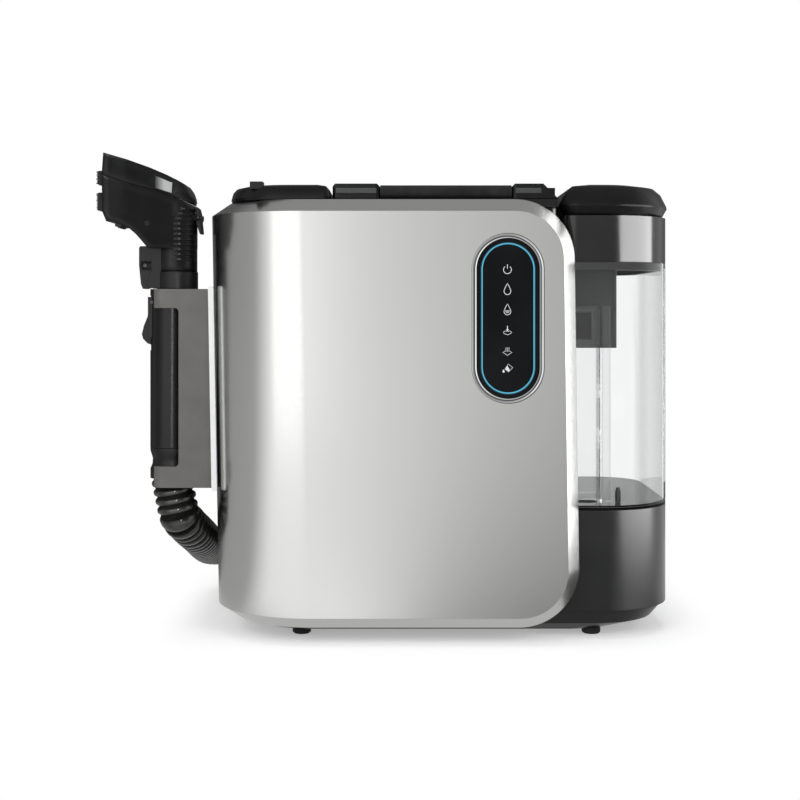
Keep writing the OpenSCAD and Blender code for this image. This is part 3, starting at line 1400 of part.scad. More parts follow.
// Each hook's place along and above the lane, and how far it leans with the coil
function on_coil(x, z, r, lean_by) = [x + r * sin(lean_by), z + r * cos(lean_by), lean_by];
hook_places = [[87, 28.7, 5.5], [145, outer_z - outer_r, 0], [147, outer_z + outer_r, 0],
    on_coil(outer_x, outer_z, outer_r, 45), on_coil(inner_x, inner_z, inner_r, -45)];

// J-shaped hooks under the hose, each fastened to the rear wall
module hose_hooks() color("#202123") place() {
    r = hose_d / 2 + hook_gap;
    t = hook_t;
    for (p = hook_places) translate([p[0], 0, p[1]]) rotate([0, p[2], 0]) translate([-7, 0, 0])
        rotate([90, 0, 90]) linear_extrude(14) {
            difference() {
                translate([lane_y, 0]) circle(r + t);
                translate([lane_y, 0]) circle(r);
                translate([lane_y - 40, 0]) square([80, 40]);
            }
            translate([body_d + 0.2, -t]) square([lane_y - r - body_d - 0.4, t + 4]);
            translate([body_d + 0.2, -t - 4]) square([3, 20]);
        }
}

// Elbow on the rear wall that takes the hose's end
module hose_socket() color("#232426") place() {
    difference() {
        union() {
            translate([SOCKET[0], lane_y, SOCKET[2]]) rotate([0, 90, 0]) cylinder(d = hose_d + 3, h = 34);
            translate([socket_x, lane_y, SOCKET[2]]) rotate([90, 0, 0])
                cylinder(d = 32, h = lane_y - body_d - 0.1);
            translate([socket_x, lane_y, SOCKET[2]]) rotate([90, 0, 0])
                cylinder(d = socket_d, h = lane_y - body_d + 10);
        }
        translate([SOCKET[0] - 1, lane_y, SOCKET[2]]) rotate([0, 90, 0]) cylinder(d = hose_bore, h = 18);
        translate([socket_x, lane_y, SOCKET[2]]) rotate([90, 0, 0]) cylinder(d = 20, h = 60);
    }
}

// Where the mains cord enters
module cord_gland() color("#141414") place() {
    translate([gland_x, body_d, gland_z]) rotate([-90, 0, 0]) difference() {
        union() {
            translate([0, 0, 0.1]) cylinder(d = 20, h = 3);
            translate([0, 0, 3]) cylinder(d1 = 14, d2 = 10, h = 5);
            translate([0, 0, -8]) cylinder(d = 16, h = 9);
        }
        translate([0, 0, -10]) cylinder(d = 7, h = 30);
    }
}

module case_screws() color("#8a8c8e") place() {
    for (p = concat(base_screws, tower_screws)) translate([p[0], body_d, p[1]]) rotate([90, 0, 0]) {
        cylinder(d = 3.8, h = 10);
        translate([0, 0, -1.6]) cylinder(d = 7, h = 1.6);
    }
}

silver_shell();
panel_bezel();
touch_panel();
light_ring();
control_board();
base_housing();
bottom_tray();
rubber_feet();
tower_housing();
top_deck();
rear_cover();
handle_bail();
handle_grip();
handle_inlays();
handle_pins();
clean_tank();
clean_tank_lid();
lid_seal();
lid_pin();
foot_valve();
valve_seat();
dirty_tank();
tank_collar();
tank_cap();
cap_seal();
cap_pin();
separator();
standpipe();
tank_post();
float();
port_seal();
vacuum_motor();
impeller();
motor_mounts();
air_ducts();
water_pump();
steam_boiler();
water_lines();
power_board();
handset_cradle();
cradle_trim();
handset_handle();
handset_collar();
hose_cuff();
suction_tube();
nozzle_body();
nozzle_cover();
nozzle_window();
nozzle_brush();
steam_jet();
steam_trigger();
spray_trigger();
trigger_pins();
trigger_springs();
nozzle_latch();
hose();
hose_hooks();
hose_socket();
cord_gland();
case_screws();
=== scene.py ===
import math
import random

import bmesh
import bpy
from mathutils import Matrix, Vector


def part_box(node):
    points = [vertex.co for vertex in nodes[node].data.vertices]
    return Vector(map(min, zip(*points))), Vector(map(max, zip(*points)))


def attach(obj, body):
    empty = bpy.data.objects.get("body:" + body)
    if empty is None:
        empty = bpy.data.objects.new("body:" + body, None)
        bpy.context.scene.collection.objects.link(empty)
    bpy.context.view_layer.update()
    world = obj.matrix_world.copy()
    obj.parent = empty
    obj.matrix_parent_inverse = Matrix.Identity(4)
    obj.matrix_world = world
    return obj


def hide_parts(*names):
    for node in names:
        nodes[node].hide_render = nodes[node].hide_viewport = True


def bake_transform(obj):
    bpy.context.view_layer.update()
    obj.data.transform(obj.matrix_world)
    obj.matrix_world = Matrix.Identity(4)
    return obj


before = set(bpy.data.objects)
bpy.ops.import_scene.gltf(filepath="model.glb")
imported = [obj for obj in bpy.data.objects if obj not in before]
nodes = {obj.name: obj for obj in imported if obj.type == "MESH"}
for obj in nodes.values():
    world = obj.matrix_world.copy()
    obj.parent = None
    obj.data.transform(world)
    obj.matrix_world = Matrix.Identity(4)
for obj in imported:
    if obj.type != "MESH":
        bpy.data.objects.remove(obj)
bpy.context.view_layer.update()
scene = bpy.context.scene

# The source draws in millimetres: x right from the left wall, y back from the front, z up.
# Its origin in the row frame lies here.
ORIGIN = Vector((134.6, 133.0, 0.0))


def at(x, y, z):
    return (Vector((x, y, z)) - ORIGIN) * 0.001


# ---- camera ----

# Fitted to the photograph: the eye's place, and the picture's scale in the plane of the silver front
EYE_X, EYE_Z = 145, 243
FRONT_DISTANCE = 972.0
MM_PER_PIXEL = 0.72
HORIZON_PIXEL = 310.0
PICTURE = 800
SENSOR = 36.0


def make_camera():
    data = bpy.data.cameras.new("camera")
    data.sensor_width = SENSOR
    data.lens = SENSOR * FRONT_DISTANCE / (PICTURE * MM_PER_PIXEL)
    data.shift_y = -(PICTURE / 2 - HORIZON_PIXEL) / PICTURE
    data.clip_end = 60.0
    camera = bpy.data.objects.new("camera", data)
    scene.collection.objects.link(camera)
    camera.location = at(EYE_X, -FRONT_DISTANCE, EYE_Z)
    camera.rotation_euler = (math.radians(90), 0, 0)
    scene.camera = camera


make_camera()

# ---- meshes ----


def mesh_object(name, points, faces, smooth=True):
    mesh = bpy.data.meshes.new(name)
    mesh.from_pydata([tuple(p) for p in points], [], faces)
    mesh.update()
    obj = bpy.data.objects.new(name, mesh)
    scene.collection.objects.link(obj)
    if smooth:
        for face in mesh.polygons:
            face.use_smooth = True
    return obj


def outward(obj):
    shape = bmesh.new()
    shape.from_mesh(obj.data)
    bmesh.ops.recalc_face_normals(shape, faces=shape.faces)
    shape.to_mesh(obj.data)
    shape.free()
    return obj


# ---- node materials ----

# The part of a noise texture's range that is spread over the range asked for,
# and where the two colours of a tint lie in it
NOISE_RANGE = (0.3, 0.7)
TINT_STOPS = (0.35, 0.65)


class Look:
    """A principled material whose detail comes from procedural nodes in object space."""

    def __init__(self, name, color, roughness, metallic=0.0, **inputs):
        self.material = bpy.data.materials.new(name)
        self.material.use_nodes = True
        self.tree = self.material.node_tree
        self.bsdf = self.tree.nodes["Principled BSDF"]
        self.set("Base Color", (*color, 1.0))
        self.set("Roughness", roughness)
        self.set("Metallic", metallic)
        for key, value in inputs.items():
            self.set(key.replace("_", " "), value)
        self.coords = self.tree.nodes.new("ShaderNodeTexCoord").outputs["Object"]
        self.normal = None

    def set(self, socket, value):
        self.bsdf.inputs[socket].default_value = value

    def node(self, kind, **settings):
        made = self.tree.nodes.new(kind)
        for key, value in settings.items():
            setattr(made, key, value)
        return made

    def link(self, source, target):
        self.tree.links.new(source, target)

    def stretched(self, factors):
        mapping = self.node("ShaderNodeMapping")
        mapping.inputs["Scale"].default_value = factors
        self.link(self.coords, mapping.inputs["Vector"])
        return mapping.outputs["Vector"]

    def noise(self, scale, detail=2.0, stretch=None):
        made = self.node("ShaderNodeTexNoise")
        made.inputs["Scale"].default_value = scale
        made.inputs["Detail"].default_value = detail
        self.link(self.stretched(stretch) if stretch else self.coords, made.inputs["Vector"])
        return made.outputs["Fac"]

    def remap(self, value, low, high, from_low=NOISE_RANGE[0], from_high=NOISE_RANGE[1]):
        made = self.node("ShaderNodeMapRange")
        made.inputs["From Min"].default_value = from_low
        made.inputs["From Max"].default_value = from_high
        made.inputs["To Min"].default_value = low
        made.inputs["To Max"].default_value = high
        self.link(value, made.inputs["Value"])
        return made.outputs["Result"]

    def rough(self, low, high, scale, detail=3.0, stretch=None):
        self.link(self.remap(self.noise(scale, detail, stretch), low, high), self.bsdf.inputs["Roughness"])

    def tint(self, first, second, scale, detail=3.0, stretch=None):
        ramp = self.node("ShaderNodeValToRGB")
        for stop, position, color in zip(ramp.color_ramp.elements, TINT_STOPS, (first, second)):
            stop.position = position
            stop.color = (*color, 1.0)
        self.link(self.noise(scale, detail, stretch), ramp.inputs["Fac"])
        self.link(ramp.outputs["Color"], self.bsdf.inputs["Base Color"])

    def bump(self, height, strength, depth):
        made = self.node("ShaderNodeBump")
        made.inputs["Strength"].default_value = strength
        made.inputs["Distance"].default_value = depth
        self.link(height, made.inputs["Height"])
        if self.normal is not None:
            self.link(self.normal, made.inputs["Normal"])
        self.normal = made.outputs["Normal"]
        self.link(self.normal, self.bsdf.inputs["Normal"])

    def soft_edges(self, radius):
        """Rounds the look of moulded edges by the given radius, and leaves the mesh as it is."""
        made = self.node("ShaderNodeBevel", samples=4 if radius < 0.001 else 10)
        made.inputs["Radius"].default_value = radius
        self.normal = made.outputs["Normal"]
        self.link(self.normal, self.bsdf.inputs["Normal"])


def grey(value):
    return (value, value, value)


def black_plastic(name, level, low, high, grain, depth, gloss, edge=0.0006):
    """Slightly cool black; level is its darkest value and gloss the strength of what it mirrors."""
    look = Look(name, (level, level * 1.03, level * 1.03), low, Specular_IOR_Level=gloss)
    look.soft_edges(edge)
    look.tint((level, level * 1.03, level * 1.02), (level * 1.3, level * 1.33, level * 1.32), 45.0)
    look.rough(low, high, 38.0)
    look.bump(look.noise(grain, 2.0), 0.2, depth)
    return look.material


def silver():
    look = Look("silver satin paint", (0.71, 0.715, 0.70), 0.2, metallic=1.0)
    look.soft_edges(0.0007)
    look.tint((0.69, 0.695, 0.68), (0.73, 0.735, 0.72), 5200.0, 1.0)
    look.rough(0.19, 0.24, 420.0, 2.0)
    look.bump(look.noise(2600.0, 1.0), 0.08, 0.00001)
    return look.material


def ring_distance(look, name, width):
    """Distance of a point from the middle line of an upright pill-shaped ring, as a node value."""
    low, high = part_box(name)
    middle, half_w, half_h = (low + high) / 2, (high.x - low.x) / 2, (high.z - low.z) / 2

    def value(kind, *inputs):
        made = look.node("ShaderNodeMath", operation=kind)
        for place, given in enumerate(inputs):
            if isinstance(given, float):
                made.inputs[place].default_value = given
            else:
                look.link(given, made.inputs[place])
        return made.outputs[0]

    parts = look.node("ShaderNodeSeparateXYZ")
    look.link(look.coords, parts.inputs[0])
    x = value("SUBTRACT", parts.outputs["X"], middle.x)
    z = value("ABSOLUTE", value("SUBTRACT", parts.outputs["Z"], middle.z))
    z = value("MAXIMUM", value("SUBTRACT", z, half_h - half_w), 0.0)
    away = value("SQRT", value("ADD", value("MULTIPLY", x, x), value("MULTIPLY", z, z)))
    return value("SUBTRACT", away, half_w - width / 2)


def chrome():
    """Plated ring with a crowned face between two fine grooves."""
    look = Look("chrome", (0.88, 0.885, 0.89), 0.05, metallic=1.0)
    look.rough(0.05, 0.10, 90.0, 3.0)
    off = ring_distance(look, "panel_bezel", RING_W)
    crown = look.node("ShaderNodeFloatCurve")
    share = look.node("ShaderNodeMapRange")
    share.inputs["From Min"].default_value = -RING_W / 2
    share.inputs["From Max"].default_value = RING_W / 2
    look.link(off, share.inputs["Value"])
    look.link(share.outputs[0], crown.inputs["Value"])
    # Painted shade: the ring's colour is dark at its edges and in its middle groove, and lower over its
    # outer band.
    grooves = look.node("ShaderNodeValToRGB")
    stops = grooves.color_ramp.elements
    while len(stops) < len(RING_PAINTED_SHADES):
        stops.new(0.5)
    for stop, (place, level) in zip(stops, RING_PAINTED_SHADES):
        stop.position = place
        stop.color = (level, level * 1.005, level * 1.01, 1)
    look.link(share.outputs[0], grooves.inputs["Fac"])
    look.link(grooves.outputs["Color"], look.bsdf.inputs["Base Color"])
    curve = crown.mapping.curves[0]
    for x, y in RING_PROFILE[1:-1]:
        curve.points.new(x, y)
    for point, place in zip((curve.points[0], curve.points[-1]), (RING_PROFILE[0], RING_PROFILE[-1])):
        point.location = place
    crown.mapping.update()
    look.bump(crown.outputs[0], 1.0, RING_H)
    return look.material


def black_glass():
    look = Look("black glass", (0.006, 0.0065, 0.0075), 0.04, Specular_IOR_Level=0.08)
    look.tint((0.005, 0.0055, 0.0065), (0.009, 0.0095, 0.011), 14.0)
    look.rough(0.02, 0.09, 22.0, 4.0)
    return look.material


def glow(name, color, strength, base):
    look = Look(name, base, 0.35, Emission_Strength=strength)
    look.set("Emission Color", (*color, 1.0))
    look.rough(0.3, 0.45, 60.0)
    return look


def blue_line():
    """A light guide behind glass: brightest along its middle, dark blue at its edges."""
    look = glow("blue light", (0.035, 0.36, 0.56), 1.0, (0.0, 0.012, 0.02))
    off = look.node("ShaderNodeMath", operation="ABSOLUTE")
    look.link(ring_distance(look, "light_ring", LIGHT_W), off.inputs[0])
    fade = look.remap(off.outputs[0], 1.0, 0.04, 0.0003, 0.00075)
    ramp = look.node("ShaderNodeValToRGB")
    ramp.color_ramp.elements[0].color = (0.0, 0.02, 0.035, 1)
    ramp.color_ramp.elements[1].color = (0.09, 0.46, 0.66, 1)
    look.link(fade, ramp.inputs["Fac"])
    look.link(ramp.outputs["Color"], look.bsdf.inputs["Emission Color"])
    return look.material


def rubber(name, level, roughness=0.7):
    look = Look(name, grey(level), roughness, Specular_IOR_Level=0.3)
    look.soft_edges(0.0004)
    look.tint(grey(level), grey(level * 1.5 + 0.002), 70.0)
    look.rough(roughness - 0.08, roughness + 0.1, 120.0)
    look.bump(look.noise(1500.0, 3.0), 0.35, 0.0001)
    return look.material


def moulded(name, color, low, high, grain=1400.0, depth=0.00008, spread=0.06):
    look = Look(name, color, low)
    look.soft_edges(0.0005)
    look.tint(tuple(c * (1 - spread) for c in color), tuple(min(1.0, c * (1 + spread)) for c in color), 55.0)
    look.rough(low, high, 90.0)
    look.bump(look.noise(grain, 2.0), 0.3, depth)
    return look.material


def clear(name, color, edge_color, roughness, coat, foot=0.0):
    """Thin clear plastic: it hardly bends the view, and darkens where the eye looks along the wall.

    Below the height foot it is painted black and opaque, as painted shade along the tank's bottom.
    """
    look = Look(name, color, roughness, IOR=1.02, Transmission_Weight=1.0, Coat_Weight=coat,
                Coat_Roughness=0.03)
    facing = look.node("ShaderNodeLayerWeight")
    facing.inputs["Blend"].default_value = 0.5
    mix = look.node("ShaderNodeMix", data_type="RGBA")
    mix.inputs["A"].default_value = (*color, 1)
    mix.inputs["B"].default_value = (*edge_color, 1)
    look.link(look.remap(facing.outputs["Facing"], 0.0, 1.0, 0.38, 0.85), mix.inputs["Factor"])
    look.link(mix.outputs["Result"], look.bsdf.inputs["Base Color"])
    look.rough(roughness, roughness + 0.03, 30.0)
    look.bump(look.noise(18.0, 2.0), 0.02, 0.0001)
    if foot:
        parts = look.node("ShaderNodeSeparateXYZ")
        look.link(look.coords, parts.inputs[0])

        def above_foot(below, over):
            return look.remap(parts.outputs["Z"], below, over, foot - 0.0001, foot + 0.0001)

        above = above_foot(0.0, 1.0)
        look.link(above, look.bsdf.inputs["Transmission Weight"])
        # Painted shade: black, opaque and with less coat below the foot.
        shaded_foot = look.node("ShaderNodeMix", data_type="RGBA")
        shaded_foot.inputs["A"].default_value = (0.006, 0.006, 0.006, 1)
        look.link(above, shaded_foot.inputs["Factor"])
        look.link(mix.outputs["Result"], shaded_foot.inputs["B"])
        look.link(shaded_foot.outputs["Result"], look.bsdf.inputs["Base Color"])
        look.link(above_foot(0.12, coat), look.bsdf.inputs["Coat Weight"])
    return look.material


def window():
    """Grey smoked pane with a painted reflection: dark along its left edge, light over the rest."""
    look = Look("smoked window", (0.42, 0.425, 0.425), 0.2, Specular_IOR_Level=0.2)
    low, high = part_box("nozzle_window")
    parts = look.node("ShaderNodeSeparateXYZ")
    look.link(look.coords, parts.inputs[0])
    # Painted reflection: the colour rises from dark to light a few millimetres in from the pane's left edge.
    ramp = look.node("ShaderNodeValToRGB")
    ramp.color_ramp.elements[0].color = (0.05, 0.051, 0.052, 1)
    ramp.color_ramp.elements[1].color = (0.50, 0.505, 0.505, 1)
    look.link(look.remap(parts.outputs["X"], 0.0, 1.0, low.x + 0.0005, low.x + 0.0065), ramp.inputs["Fac"])
    look.link(ramp.outputs["Color"], look.bsdf.inputs["Base Color"])
    look.rough(0.18, 0.28, 120.0)
    look.bump(look.noise(500.0, 2.0), 0.1, 0.00001)
    return look.material


def brushed(name, color, low, high, stretch):
    look = Look(name, color, low, metallic=1.0)
    look.soft_edges(0.0003)
    look.tint(tuple(c * 0.85 for c in color), color, 420.0, 3.0, stretch)
    look.rough(low, high, 300.0, 3.0, stretch)
    look.bump(look.noise(700.0, 2.0, stretch), 0.2, 0.00004)
    return look.material


def cast():
    look = Look("cast aluminium", (0.42, 0.43, 0.44), 0.5, metallic=1.0)
    look.tint((0.34, 0.35, 0.36), (0.50, 0.51, 0.52), 160.0, 4.0)
    look.rough(0.4, 0.62, 220.0)
    look.bump(look.noise(900.0, 4.0), 0.5, 0.00025)
    return look.material


def circuit():
    look = Look("circuit board", (0.02, 0.09, 0.045), 0.42)
    tracks = look.node("ShaderNodeTexBrick", offset=0.37, squash=0.6)
    tracks.inputs["Scale"].default_value = 190.0
    tracks.inputs["Mortar Size"].default_value = 0.035
    tracks.inputs["Color1"].default_value = (0.012, 0.075, 0.035, 1)
    tracks.inputs["Color2"].default_value = (0.018, 0.105, 0.05, 1)
    tracks.inputs["Mortar"].default_value = (0.05, 0.20, 0.09, 1)
    turned = look.node("ShaderNodeMapping")
    turned.inputs["Rotation"].default_value = (math.radians(90), 0, 0)
    look.link(look.coords, turned.inputs["Vector"])
    look.link(turned.outputs["Vector"], tracks.inputs["Vector"])
    look.link(tracks.outputs["Color"], look.bsdf.inputs["Base Color"])
    look.bump(tracks.outputs["Fac"], 0.3, 0.00006)
    return look.material


def hose_black():
    look = Look("hose plastic", (0.009, 0.009, 0.008), 0.16, Coat_Weight=0.6, Coat_Roughness=0.06)
    look.tint((0.008, 0.008, 0.007), (0.018, 0.018, 0.016), 60.0)
    look.rough(0.10, 0.20, 110.0)
    # Painted shade in the grooves: gloss and coat fade out where the surface lies deep.
    groove = look.node("ShaderNodeAttribute", attribute_name="groove")
    for socket, crest in (("Specular IOR Level", 0.6), ("Coat Weight", 0.8)):
        look.link(look.remap(groove.outputs["Fac"], crest, 0.0, 0.05, 0.6), look.bsdf.inputs[socket])
    look.bump(look.noise(900.0, 2.0), 0.1, 0.00002)
    return look.material


# The chrome ring's width and height, its profile, and its colour from the inner edge to the outer, with
# painted shade at both edges, in the middle groove and over the outer band
RING_W, RING_H = 0.0052, 0.0009
RING_PROFILE = (
    (0.0, 0.0), (0.1, 0.45), (0.3, 0.8), (0.48, 0.7), (0.6, 0.35), (0.72, 0.6), (0.88, 0.7), (1.0, 0.2),
)
RING_PAINTED_SHADES = (
    (0.0, 0.25), (0.08, 0.88), (0.42, 0.88), (0.52, 0.10), (0.60, 0.10), (0.68, 0.62), (0.88, 0.62),
    (0.97, 0.08), (1.0, 0.08),
)
# Width of the light guide
LIGHT_W = 0.0022
# What clear plastic looks like along its wall, and the height of the painted shade along the dirty tank's
# bottom
CLEAR_EDGE = (0.62, 0.63, 0.63)
TANK_SHADED_FOOT = 0.002

SILVER = silver()
CHROME = chrome()
GLASS = black_glass()
CYAN = blue_line()
ICON = glow("icon light", (0.80, 0.83, 0.84), 0.62, grey(0.25)).material
GLOSS = black_plastic("black gloss", 0.006, 0.16, 0.20, 900.0, 0.000004, gloss=0.26)
CAP = black_plastic("cap black", 0.006, 0.22, 0.27, 900.0, 0.000003, gloss=0.22, edge=0.0016)
GRIP = black_plastic("handset black", 0.006, 0.18, 0.24, 1100.0, 0.000003, gloss=0.28)
HEAD = black_plastic("head black", 0.006, 0.20, 0.25, 1100.0, 0.0000012, gloss=0.30, edge=0.007)
COLLAR = black_plastic("black collar", 0.008, 0.15, 0.20, 1100.0, 0.000008, gloss=0.46)
BASE = black_plastic("black base", 0.006, 0.28, 0.32, 1300.0, 0.000012, gloss=0.42)
SATIN = black_plastic("black satin", 0.008, 0.32, 0.42, 1600.0, 0.00003, gloss=0.28)
DARK = moulded("dark plastic", (0.016, 0.0165, 0.018), 0.30, 0.42, depth=0.00002)
RUBBER = rubber("black rubber", 0.014)
SEAL = rubber("seal rubber", 0.05, 0.62)
TRIM = moulded("grey trim", (0.055, 0.056, 0.058), 0.3, 0.4, depth=0.00002)
GREY = moulded("grey plastic", (0.120, 0.117, 0.111), 0.34, 0.46)
WHITE = moulded("white plastic", (0.90, 0.905, 0.90), 0.2, 0.32, spread=0.01)
CLEAR = clear("clear tank", (0.955, 0.96, 0.96), CLEAR_EDGE, 0.01, 0.5)
DIRTY_CLEAR = clear("dirty tank clear", (0.975, 0.98, 0.98), CLEAR_EDGE, 0.01, 0.5,
                    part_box("dirty_tank")[0].z + TANK_SHADED_FOOT)
THIN_CLEAR = clear("clear duct", (0.94, 0.945, 0.945), (0.70, 0.71, 0.71), 0.02, 0.4)
WINDOW = window()
FOAM = moulded("float foam", (0.72, 0.69, 0.62), 0.6, 0.8, 600.0, 0.0004)
STEEL = brushed("steel", (0.52, 0.52, 0.53), 0.22, 0.4, (1, 1, 0.1))
DARK_STEEL = brushed("dark steel", (0.10, 0.10, 0.105), 0.3, 0.45, (1, 1, 0.1))
CAST = cast()
LINE = moulded("silicone line", (0.62, 0.64, 0.65), 0.35, 0.5)
BOARD = circuit()
HOSE = hose_black()
BRISTLE = rubber("bristle plastic", 0.005, 0.45)

WORN_BY = {
    "silver_shell": SILVER,
    "panel_bezel": CHROME,
    "touch_panel": GLASS,
    "light_ring": CYAN,
    "control_board": BOARD,
    "power_board": BOARD,
    "base_housing": BASE,
    "bottom_tray": BASE,
    "tower_housing": BASE,
    "dirty_tank": DIRTY_CLEAR,
    "clean_tank": CLEAR,
    "standpipe": THIN_CLEAR,
    "tank_collar": COLLAR,
    "tank_cap": CAP,
    "clean_tank_lid": GLOSS,
    "handle_bail": GLOSS,
    "handle_grip": RUBBER,
    "handle_inlays": TRIM,
    "rubber_feet": RUBBER,
    "top_deck": SATIN,
    "rear_cover": SATIN,
    "lid_seal": SEAL,
    "cap_seal": SEAL,
    "port_seal": SEAL,
    "handle_pins": DARK_STEEL,
    "lid_pin": STEEL,
    "cap_pin": STEEL,
    "trigger_pins": DARK_STEEL,
    "trigger_springs": DARK_STEEL,
    "case_screws": STEEL,
    "foot_valve": WHITE,
    "valve_seat": DARK,
    "separator": DARK,
    "tank_post": DARK,
    "float": FOAM,
    "vacuum_motor": CAST,
    "impeller": CAST,
    "steam_boiler": CAST,
    "motor_mounts": RUBBER,
    "air_ducts": DARK,
    "water_pump": WHITE,
    "water_lines": LINE,
    "handset_cradle": GREY,
    "cradle_trim": WHITE,
    "handset_handle": GRIP,
    "handset_collar": SATIN,
    "hose_cuff": SATIN,
    "suction_tube": DARK,
    "nozzle_body": HEAD,
    "nozzle_cover": HEAD,
    "nozzle_window": WINDOW,
    "nozzle_brush": BRISTLE,
    "steam_jet": DARK,
    "steam_trigger": SATIN,
    "spray_trigger": SATIN,
    "nozzle_latch": SATIN,
    "hose": HOSE,
    "hose_hooks": SATIN,
    "hose_socket": SATIN,
    "cord_gland": RUBBER,
}


def wear(obj, material):
    if obj.material_slots:
        for place in obj.material_slots:
            place.material = material
    else:
        obj.data.materials.append(material)


for node_name, material in WORN_BY.items():
    wear(nodes[node_name], material)
unworn = sorted(set(nodes) - set(WORN_BY))
if unworn:
    raise ValueError(f"no material for {unworn}")

# ---- facets shaded as the curved surfaces they stand for ----


# Facets closer than this are welded, and edges flatter than this angle are shaded smooth
WELD = 0.000005
SMOOTH_BELOW = 32


def facet_group():
    """Welds a node's facets and keeps only its sharper edges."""
    tree = bpy.data.node_groups.new("smooth facets", "GeometryNodeTree")
    for way in ("INPUT", "OUTPUT"):
        tree.interface.new_socket(name="Geometry", in_out=way, socket_type="NodeSocketGeometry")
    first, last = tree.nodes.new("NodeGroupInput"), tree.nodes.new("NodeGroupOutput")
    weld = tree.nodes.new("GeometryNodeMergeByDistance")
    weld.inputs["Distance"].default_value = WELD
    drop = tree.nodes.new("GeometryNodeRemoveAttribute")
    drop.inputs["Name"].default_value = "custom_normal"
    faces = tree.nodes.new("GeometryNodeSetShadeSmooth")
    faces.domain = "FACE"
    edges = tree.nodes.new("GeometryNodeSetShadeSmooth")
    edges.domain = "EDGE"
    angle = tree.nodes.new("GeometryNodeInputMeshEdgeAngle")
    less = tree.nodes.new("FunctionNodeCompare")
    less.data_type = "FLOAT"
    less.operation = "LESS_THAN"
    less.inputs["B"].default_value = math.radians(SMOOTH_BELOW)
    chain = (first, weld, drop, faces, edges, last)
    for source, target in zip(chain, chain[1:]):
        tree.links.new(source.outputs[0], target.inputs[0])
    tree.links.new(angle.outputs["Unsigned Angle"], less.inputs["A"])
    tree.links.new(less.outputs["Result"], edges.inputs["Shade Smooth"])
    return tree


def smooth_facets(names, group):
    for name in names:
        made = nodes[name].modifiers.new("smooth facets", "NODES")
        made.node_group = group
        made = nodes[name].modifiers.new("flat faces stay flat", "WEIGHTED_NORMAL")
        made.mode = "FACE_AREA"
        made.weight = 100
        made.keep_sharp = True


smooth_facets([name for name in WORN_BY if name not in ("hose", "nozzle_brush")], facet_group())

# ---- hose ----

# How far back the coil lies, and the x, z and radius of its outer and inner turn
LANE = 246.0
OUTER = (160.0, 150.0, 124.0)
INNER = (135.0, 169.0, 105.0)
COIL_STEP = 22.5


def coil(circle, first, last):
    x, z, r = circle
    steps = round((last - first) / COIL_STEP)
    turns = [math.radians(first + COIL_STEP * i) for i in range(steps + 1)]
    return [(x + r * math.cos(a), LANE, z + r * math.sin(a)) for a in turns]


ROUTE = [
    (-31.5, 67.5, 117.5), (-26, 70, 88), (-21, 85, 75), (-18, 103, 66.5), (-16.8, 122, 59.5),
    (-16.8, 140, 53.5), (-17.2, 158, 48), (-16.4, 177, 42.5), (-10.4, 197, 38.5), (3.5, 217, 36),
    (24, 233, 34), (48, 243, 32), (74, LANE, 29.5), (100, LANE, 27.5), (130, LANE, OUTER[1] - OUTER[2]),
    *coil(OUTER, -90, 90), *coil(INNER, 90, 270),
    (145, LANE, INNER[1] - INNER[2]), (155, LANE, INNER[1] - INNER[2]),
]
HOSE_RADIUS = 15.7
GROOVE = 2.1
RIB_PITCH = 7.05
HOSE_WALL = 1.6
# Plain hose at each end, before the first rib and after the last
PLAIN_END = 2
# Share of a rib's length, and how deep the surface lies there, from 0 on the crest to 1 in the groove
RIB = (
    (0.0, 1.0), (0.12, 0.86), (0.2, 0.42), (0.3, 0.1), (0.42, 0.0), (0.56, 0.0), (0.68, 0.1), (0.78, 0.42),
    (0.88, 0.86),
)
ROUTE_STEPS = 24
HOSE_SIDES = 32
BORE_RINGS = 160


def smooth_route(points, steps):
    """The source's curve: cubic pieces through the points, straight at both ends."""
    p = [Vector(q) for q in points]
    last = len(p) - 1

    def tangent(i):
        if i == 0:
            return p[1] - p[0]
        if i == 1:
            return (p[1] - p[0]).normalized() * (p[2] - p[1]).length
        if i == last - 1:
            return (p[last] - p[last - 1]).normalized() * (p[last - 1] - p[last - 2]).length
        if i == last:
            return p[last] - p[last - 1]
        return (p[i + 1] - p[i - 1]) / 2

    line = []
    for i in range(last):
        a, b, ta, tb = p[i], p[i + 1], tangent(i), tangent(i + 1)
        for k in range(steps):
            t = k / steps
            line.append((2 * t**3 - 3 * t**2 + 1) * a + (t**3 - 2 * t**2 + t) * ta
                        + (3 * t**2 - 2 * t**3) * b + (t**3 - t**2) * tb)
    return line + [p[last]]


def sweep(name, line, stations, sides, side):
    """Rings of the given radius at the given distances along a line, joined to an open tube."""
    travelled = [0.0]
    for a, b in zip(line, line[1:]):
        travelled.append(travelled[-1] + (b - a).length)

    def place(s):
        s = min(max(s, 0.0), travelled[-1])
        i = max(k for k in range(len(travelled) - 1) if travelled[k] <= s + 1e-9)
        part = (s - travelled[i]) / max(travelled[i + 1] - travelled[i], 1e-9)
        return line[i].lerp(line[i + 1], min(part, 1.0))

    points, faces = [], []
    for s, radius in stations:
        middle = place(s)
        ahead = (place(s + 1.5) - place(s - 1.5)).normalized()
        side = (side - side.dot(ahead) * ahead).normalized()
        across = ahead.cross(side)
        for k in range(sides):
            a = 2 * math.pi * k / sides
            points.append(at(*(middle + radius * (math.cos(a) * side + math.sin(a) * across))))
    rings = len(stations)
    for i in range(rings - 1):
        for k in range(sides):
            n = (k + 1) % sides
            faces.append((i * sides + k, i * sides + n, (i + 1) * sides + n, (i + 1) * sides + k))
    return mesh_object(name, points, faces)


